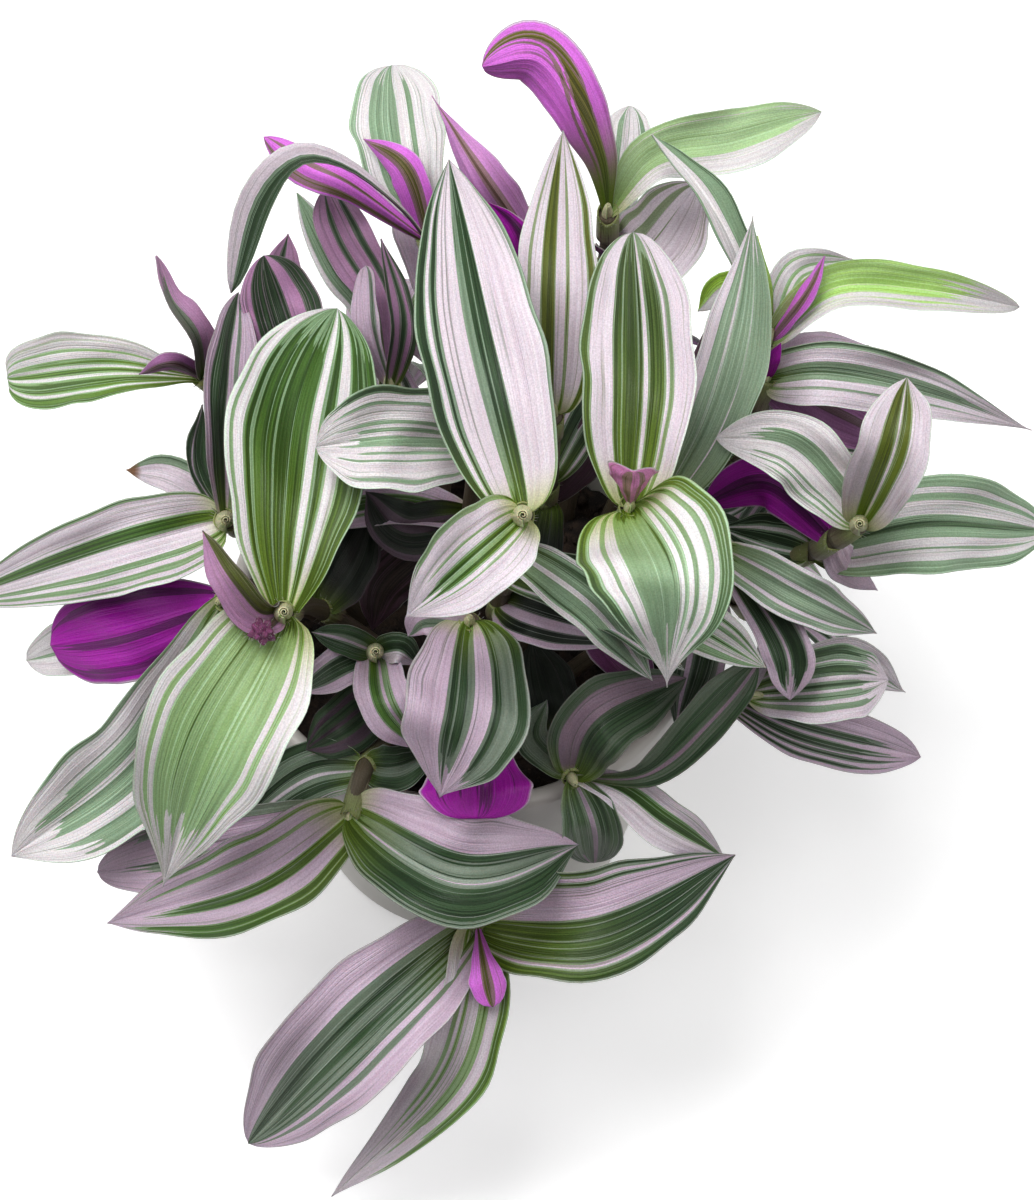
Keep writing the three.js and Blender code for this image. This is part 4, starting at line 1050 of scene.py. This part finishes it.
def leaf_material():
    """Striped leaves: dark green, silvery and pale bands, thin lines, a fine margin, satin skin."""
    nodes = Nodes("striped_leaf")
    place = nodes.attribute("stripe_place").outputs["Vector"]
    green = nodes.attribute("leaf_green").outputs["Color"]
    pale = nodes.attribute("leaf_pale").outputs["Color"]
    level = nodes.attribute("paleness").outputs["Fac"]
    broad = nodes.streaks(place, (5.0, 0.9, 1.0), 1.0)
    fine = nodes.streaks(place, (22.0, 1.1, 1.3), 1.5, 0.6)
    tone = nodes.streaks(place, (15.0, 0.8, 0.7), 1.5, 0.55)
    lines = nodes.streaks(place, (27.0, 0.3, 2.1), 0.0)
    patches = nodes.streaks(place, (4.0, 1.6, 3.3), 1.0)
    wander = nodes.math("MULTIPLY_ADD", nodes.math("SUBTRACT", broad, 0.5), 0.5, level)
    striped = nodes.math("MULTIPLY_ADD", nodes.math("SUBTRACT", fine, 0.5), 0.55, wander)
    half_share = nodes.ramp(striped, *HALF_TONE_LIMITS)
    pale_share = nodes.ramp(striped, *PALE_LIMITS)

    dull = nodes.tint(green, (0.72, 0.75, 0.72, 1))
    bright = nodes.tint(green, (1.35, 1.35, 1.3, 1))
    deep = nodes.mix(nodes.ramp(tone, 0.43, 0.57), dull, bright)
    silvered = nodes.tint(pale, (0.9, 1.2, 0.9, 1))
    silver = nodes.mix(nodes.ramp(tone, 0.3, 0.7, 0.2, 0.33), bright, silvered)
    body = nodes.mix(half_share, deep, silver)
    light_line = nodes.math("MULTIPLY", nodes.ramp(lines, 0.65, 0.69), 0.3)
    body = nodes.mix(light_line, body, silvered)

    cloud = nodes.streaks(place, (13.0, 1.2, 0.9), 3.0, 0.65)
    shaded = nodes.tint(pale, (0.86, 0.80, 0.84, 1))
    clear = nodes.mix(nodes.ramp(cloud, 0.3, 0.7), shaded, pale)
    thin_line = nodes.ramp(lines, 0.33, 0.38, 0.5, 0.0)
    dark_line = nodes.math("MULTIPLY", thin_line, nodes.ramp(patches, 0.45, 0.6))
    colour = nodes.mix(pale_share, body, nodes.mix(dark_line, clear, bright))

    side = nodes.math("ABSOLUTE", nodes.first_number(place))
    colour = nodes.mix(nodes.ramp(side, 0.955, 0.975, 0.0, 0.5), colour, silvered)
    colour = nodes.mix(nodes.ramp(side, 0.985, 0.999, 0.0, 0.45), colour, (0.09, 0.05, 0.07, 1))
    coordinates = nodes.coordinates()
    cells = nodes.noise(coordinates, 2600.0, 1.0, 0.5)
    speckle = nodes.ramp(cells, 0.35, 0.65, 0.92, 1.07)
    nodes.set(color=nodes.tint(colour, speckle))
    nodes.set(roughness=nodes.ramp(tone, 0.2, 0.8, 0.36, 0.5))
    nodes.set(specular=0.35, subsurface=0.08, scale=0.001)
    veins = nodes.streaks(place, (46.0, 0.5, 1.0), 0.5)
    nodes.bump(nodes.math("MULTIPLY_ADD", cells, 0.3, veins), 0.0004, 0.6)
    return nodes.material


def pot_material():
    """Smooth off-white plastic with faint mottling and stains."""
    nodes = Nodes("pot_plastic")
    coordinates = nodes.coordinates()
    mottle = nodes.noise(coordinates, 28.0, 4.0, 0.6)
    grain = nodes.noise(coordinates, 900.0, 2.0, 0.6)
    stain = nodes.ramp(nodes.noise(coordinates, 60.0, 5.0, 0.7), 0.58, 0.8)
    base = nodes.mix(nodes.ramp(mottle, 0.3, 0.7), (0.74, 0.72, 0.66, 1), (0.80, 0.785, 0.735, 1))
    nodes.set(color=nodes.mix(nodes.math("MULTIPLY", stain, 0.25), base, (0.50, 0.44, 0.36, 1)))
    nodes.set(roughness=nodes.ramp(mottle, 0.2, 0.8, 0.34, 0.46))
    nodes.bump(grain, 0.00012, 0.5)
    return nodes.material


def soil_material():
    """Dark moist potting soil with paler grit."""
    nodes = Nodes("potting_soil")
    coordinates = nodes.coordinates()
    clods = nodes.noise(coordinates, 220.0, 6.0, 0.7)
    grit = nodes.noise(coordinates, 1400.0, 3.0, 0.6)
    base = nodes.mix(nodes.ramp(clods, 0.35, 0.7), (0.014, 0.010, 0.008, 1), (0.075, 0.050, 0.034, 1))
    nodes.set(color=nodes.mix(nodes.ramp(grit, 0.62, 0.78), base, (0.16, 0.115, 0.075, 1)))
    nodes.set(roughness=nodes.ramp(clods, 0.3, 0.7, 0.75, 0.95))
    nodes.bump(nodes.math("ADD", clods, grit), 0.0008, 0.8)
    return nodes.material


def floor_material():
    """Plain pale matt, with a soft glow of its own."""
    nodes = Nodes("pale_floor")
    nodes.set(color=(0.78, 0.78, 0.78, 1), roughness=0.9, specular=0.1)
    nodes.set(emission=(1, 1, 1, 1), glow=0.36)
    return nodes.material


# ---- pot, soil, floor
def add_ring(bm, radius, z, sides):
    """The corners of a level circle round the axis."""
    ring = []
    for corner in range(sides):
        angle = 2 * math.pi * corner / sides
        ring.append(bm.verts.new((radius * math.cos(angle), radius * math.sin(angle), z)))
    return ring


def finished_object(bm, name):
    mesh = bpy.data.meshes.new(name)
    bm.to_mesh(mesh)
    bm.free()
    return add_object(name, mesh)


def turned_piece(name, profile, sides):
    """A closed body of revolution; the profile starts and ends on the axis."""
    bm = bmesh.new()
    rings = []
    for radius, z in profile:
        if radius == 0:
            rings.append([bm.verts.new((0, 0, z * MM))])
        else:
            rings.append(add_ring(bm, radius * MM, z * MM, sides))
    for low, high in zip(rings, rings[1:]):
        for corner in range(sides):
            after = (corner + 1) % sides
            if len(low) == 1:
                bm.faces.new((low[0], high[after], high[corner]))
            elif len(high) == 1:
                bm.faces.new((low[corner], low[after], high[0]))
            else:
                bm.faces.new((low[corner], low[after], high[after], high[corner]))
    bmesh.ops.recalc_face_normals(bm, faces=bm.faces)
    return finished_object(bm, name)


def arc(centre, radius, start, end, steps=7):
    """Points of a round stretch of a profile, with the angles in degrees."""
    points = []
    for step in range(steps):
        angle = math.radians(start + (end - start) * step / (steps - 1))
        points.append((centre[0] + radius * math.cos(angle), centre[1] + radius * math.sin(angle)))
    return points


def outer_radius(z):
    """The pot's outer radius below its rim band."""
    slope = (POT_RIM_RADIUS - RIM_BAND_DEPTH - POT_BASE_RADIUS) / POT_HEIGHT
    return POT_BASE_RADIUS + slope * z


def make_pot(material):
    """A plain tapered pot with a rim band, a rounded lip and drain holes."""
    band = POT_HEIGHT - RIM_BAND_HEIGHT
    inner_top = POT_RIM_RADIUS - RIM_BAND_DEPTH - POT_WALL
    lip = (POT_RIM_RADIUS - inner_top) / 2
    profile = [(0, POT_FOOT_HEIGHT), (POT_FOOT_RADIUS, POT_FOOT_HEIGHT)]
    profile += [(POT_FOOT_RADIUS + POT_FOOT_BEVEL, 0)]
    profile += arc((POT_BASE_RADIUS - POT_EDGE_RADIUS, POT_EDGE_RADIUS), POT_EDGE_RADIUS, -90, 0)
    profile += [(outer_radius(z), z) for z in range(8, int(band), POT_RING_STEP)]
    profile += [(outer_radius(band) - 0.1, band - 0.4)]
    edge = RIM_BAND_EDGE_RADIUS
    profile += arc((outer_radius(band) + RIM_BAND_DEPTH - edge, band + edge), edge, -90, 0)
    profile += arc((POT_RIM_RADIUS - lip, POT_HEIGHT - lip), lip, 0, 180, 15)
    profile += [(inner_top - 0.6, 90), (outer_radius(POT_FLOOR) - POT_WALL, POT_FLOOR + 1)]
    profile += [(outer_radius(POT_FLOOR) - POT_WALL - 1, POT_FLOOR), (0, POT_FLOOR)]
    pot = turned_piece("pot_turned", profile, POT_SIDES)
    drill = drain_drill()
    cut = pot.modifiers.new("drain", "BOOLEAN")
    cut.object = drill
    cut.operation = "DIFFERENCE"
    cut.solver = "EXACT"
    with bpy.context.temp_override(object=pot, active_object=pot, selected_objects=[pot]):
        bpy.ops.object.modifier_apply(modifier="drain")
    bpy.data.objects.remove(drill)
    pot.data.materials.clear()
    pot.data.materials.append(material)
    smooth_shading(pot.data)
    pot.data.set_sharp_from_angle(angle=math.radians(38))
    return pot


def drain_drill():
    """The four cylinders that cut the drain holes."""
    bm = bmesh.new()
    for order in range(DRAIN_HOLES):
        angle = 2 * math.pi * order / DRAIN_HOLES
        made = bmesh.ops.create_cone(
            bm, cap_ends=True, segments=32, radius1=DRAIN_HOLE_RADIUS * MM,
            radius2=DRAIN_HOLE_RADIUS * MM, depth=20 * MM)
        offset = Vector((math.cos(angle), math.sin(angle), 0)) * DRAIN_CIRCLE_RADIUS * MM
        bmesh.ops.translate(bm, verts=made["verts"], vec=offset)
    return finished_object(bm, "drain_drill")


def make_soil(material):
    """Soil with a lumpy top that fills the pot to below its rim."""
    inner_top = POT_RIM_RADIUS - RIM_BAND_DEPTH - POT_WALL
    inner_base = outer_radius(POT_FLOOR) - POT_WALL
    rise = (SOIL_TOP - POT_FLOOR) / (POT_HEIGHT - 1 - POT_FLOOR)
    edge = inner_base + (inner_top - inner_base) * rise - SOIL_GAP
    bm = bmesh.new()
    centre = bm.verts.new((0, 0, SOIL_TOP * MM))
    loops = []
    for ring in range(1, SOIL_RINGS + 1):
        loop = add_ring(bm, edge * ring / SOIL_RINGS, 3.0, SOIL_SIDES)
        for corner in loop:
            lump = noise.fractal(corner.co * 0.16, 0.6, 2.1, 5)
            drop = SOIL_EDGE_DROP * (ring / SOIL_RINGS) ** 6
            corner.co.z = SOIL_TOP - 0.6 + SOIL_LUMP_HEIGHT * lump - drop
            corner.co *= MM
        loops.append(loop)
    bottom = add_ring(bm, (inner_base - SOIL_GAP) * MM, (POT_FLOOR + SOIL_GAP) * MM, SOIL_SIDES)
    for corner in range(SOIL_SIDES):
        after = (corner + 1) % SOIL_SIDES
        bm.faces.new((centre, loops[0][corner], loops[0][after]))
        for inner, outer in zip(loops, loops[1:]):
            bm.faces.new((inner[corner], outer[corner], outer[after], inner[after]))
        bm.faces.new((loops[-1][corner], bottom[corner], bottom[after], loops[-1][after]))
    bm.faces.new(bottom[::-1])
    add_crumbs(bm, edge)
    soil = finished_object(bm, "soil_lumpy")
    soil.data.materials.append(material)
    smooth_shading(soil.data)
    return soil


def add_crumbs(bm, edge):
    """Loose crumbs pressed into the top of the soil."""
    draw = random.Random(5)
    for _ in range(CRUMBS):
        radius = (edge - 2.5) * math.sqrt(draw.random())
        angle = draw.uniform(0, 2 * math.pi)
        size = draw.uniform(*CRUMB_RADIUS)
        made = bmesh.ops.create_icosphere(bm, subdivisions=1, radius=size * MM)
        for vertex in made["verts"]:
            vertex.co *= draw.uniform(0.72, 1.2)
            vertex.co.z *= 0.7
        place = Vector((radius * math.cos(angle), radius * math.sin(angle), SOIL_TOP - 0.4)) * MM
        bmesh.ops.translate(bm, verts=made["verts"], vec=place)


def make_floor(material):
    """A plain square, which casts no light of its own on the plant."""
    mesh = bpy.data.meshes.new("floor")
    corners = [(x * FLOOR_REACH, y * FLOOR_REACH, 0) for x, y in ((-1, -1), (1, -1), (1, 1), (-1, 1))]
    mesh.from_pydata(corners, [], [(0, 1, 2, 3)])
    mesh.materials.append(material)
    floor = add_object("floor", mesh)
    floor.visible_diffuse = False
    return floor


# ---- camera and light
def make_camera():
    """The photograph's point of view."""
    data = bpy.data.cameras.new("camera")
    data.sensor_width = SENSOR_SIZE
    data.lens = SENSOR_SIZE * VIEW_DISTANCE / (VIEW_ROWS * VIEW_SCALE)
    data.clip_start = 0.01
    data.clip_end = 30
    camera = add_object("camera", data)
    camera.location = Vector(EYE) * MM
    camera.rotation_euler = (math.pi / 2 - VIEW_ELEVATION, 0, 0)
    bpy.context.scene.camera = camera


def area_light(name, place, size, power):
    """A square light aimed at the middle of the plant."""
    data = bpy.data.lights.new(name, "AREA")
    data.size = size
    data.energy = power
    light = add_object(name, data)
    light.location = place
    light.visible_camera = False
    light.rotation_euler = (LIGHT_AIM - Vector(place)).to_track_quat("-Z", "Y").to_euler()


def make_light():
    """Soft lights all round in a dim room, and a plain view of their colours."""
    world = bpy.data.worlds.new("studio")
    world.use_nodes = True
    sky = world.node_tree.nodes["Background"]
    sky.inputs["Color"].default_value = (1, 1, 1, 1)
    sky.inputs["Strength"].default_value = 0.06
    bpy.context.scene.world = world
    for light in LIGHTS:
        area_light(*light)
    bpy.context.scene.view_settings.view_transform = "Standard"
    bpy.context.scene.view_settings.look = "None"
    bpy.context.scene.view_settings.gamma = 0.85


def dress(piece, node):
    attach(piece, "root")
    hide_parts(node)


def build():
    make_camera()
    make_light()
    leaf = leaf_material()
    dress(make_pot(pot_material()), "pot")
    dress(make_soil(soil_material()), "soil")
    for name, shoot in SHOOTS.items():
        dress(sight_shoot(name, shoot, leaf), name)
    for order, row in enumerate(REAR_SHOOTS):
        dress(rear_shoot(row, order, leaf), f"shoot_rear_{order + 1}")
    make_floor(floor_material())


build()
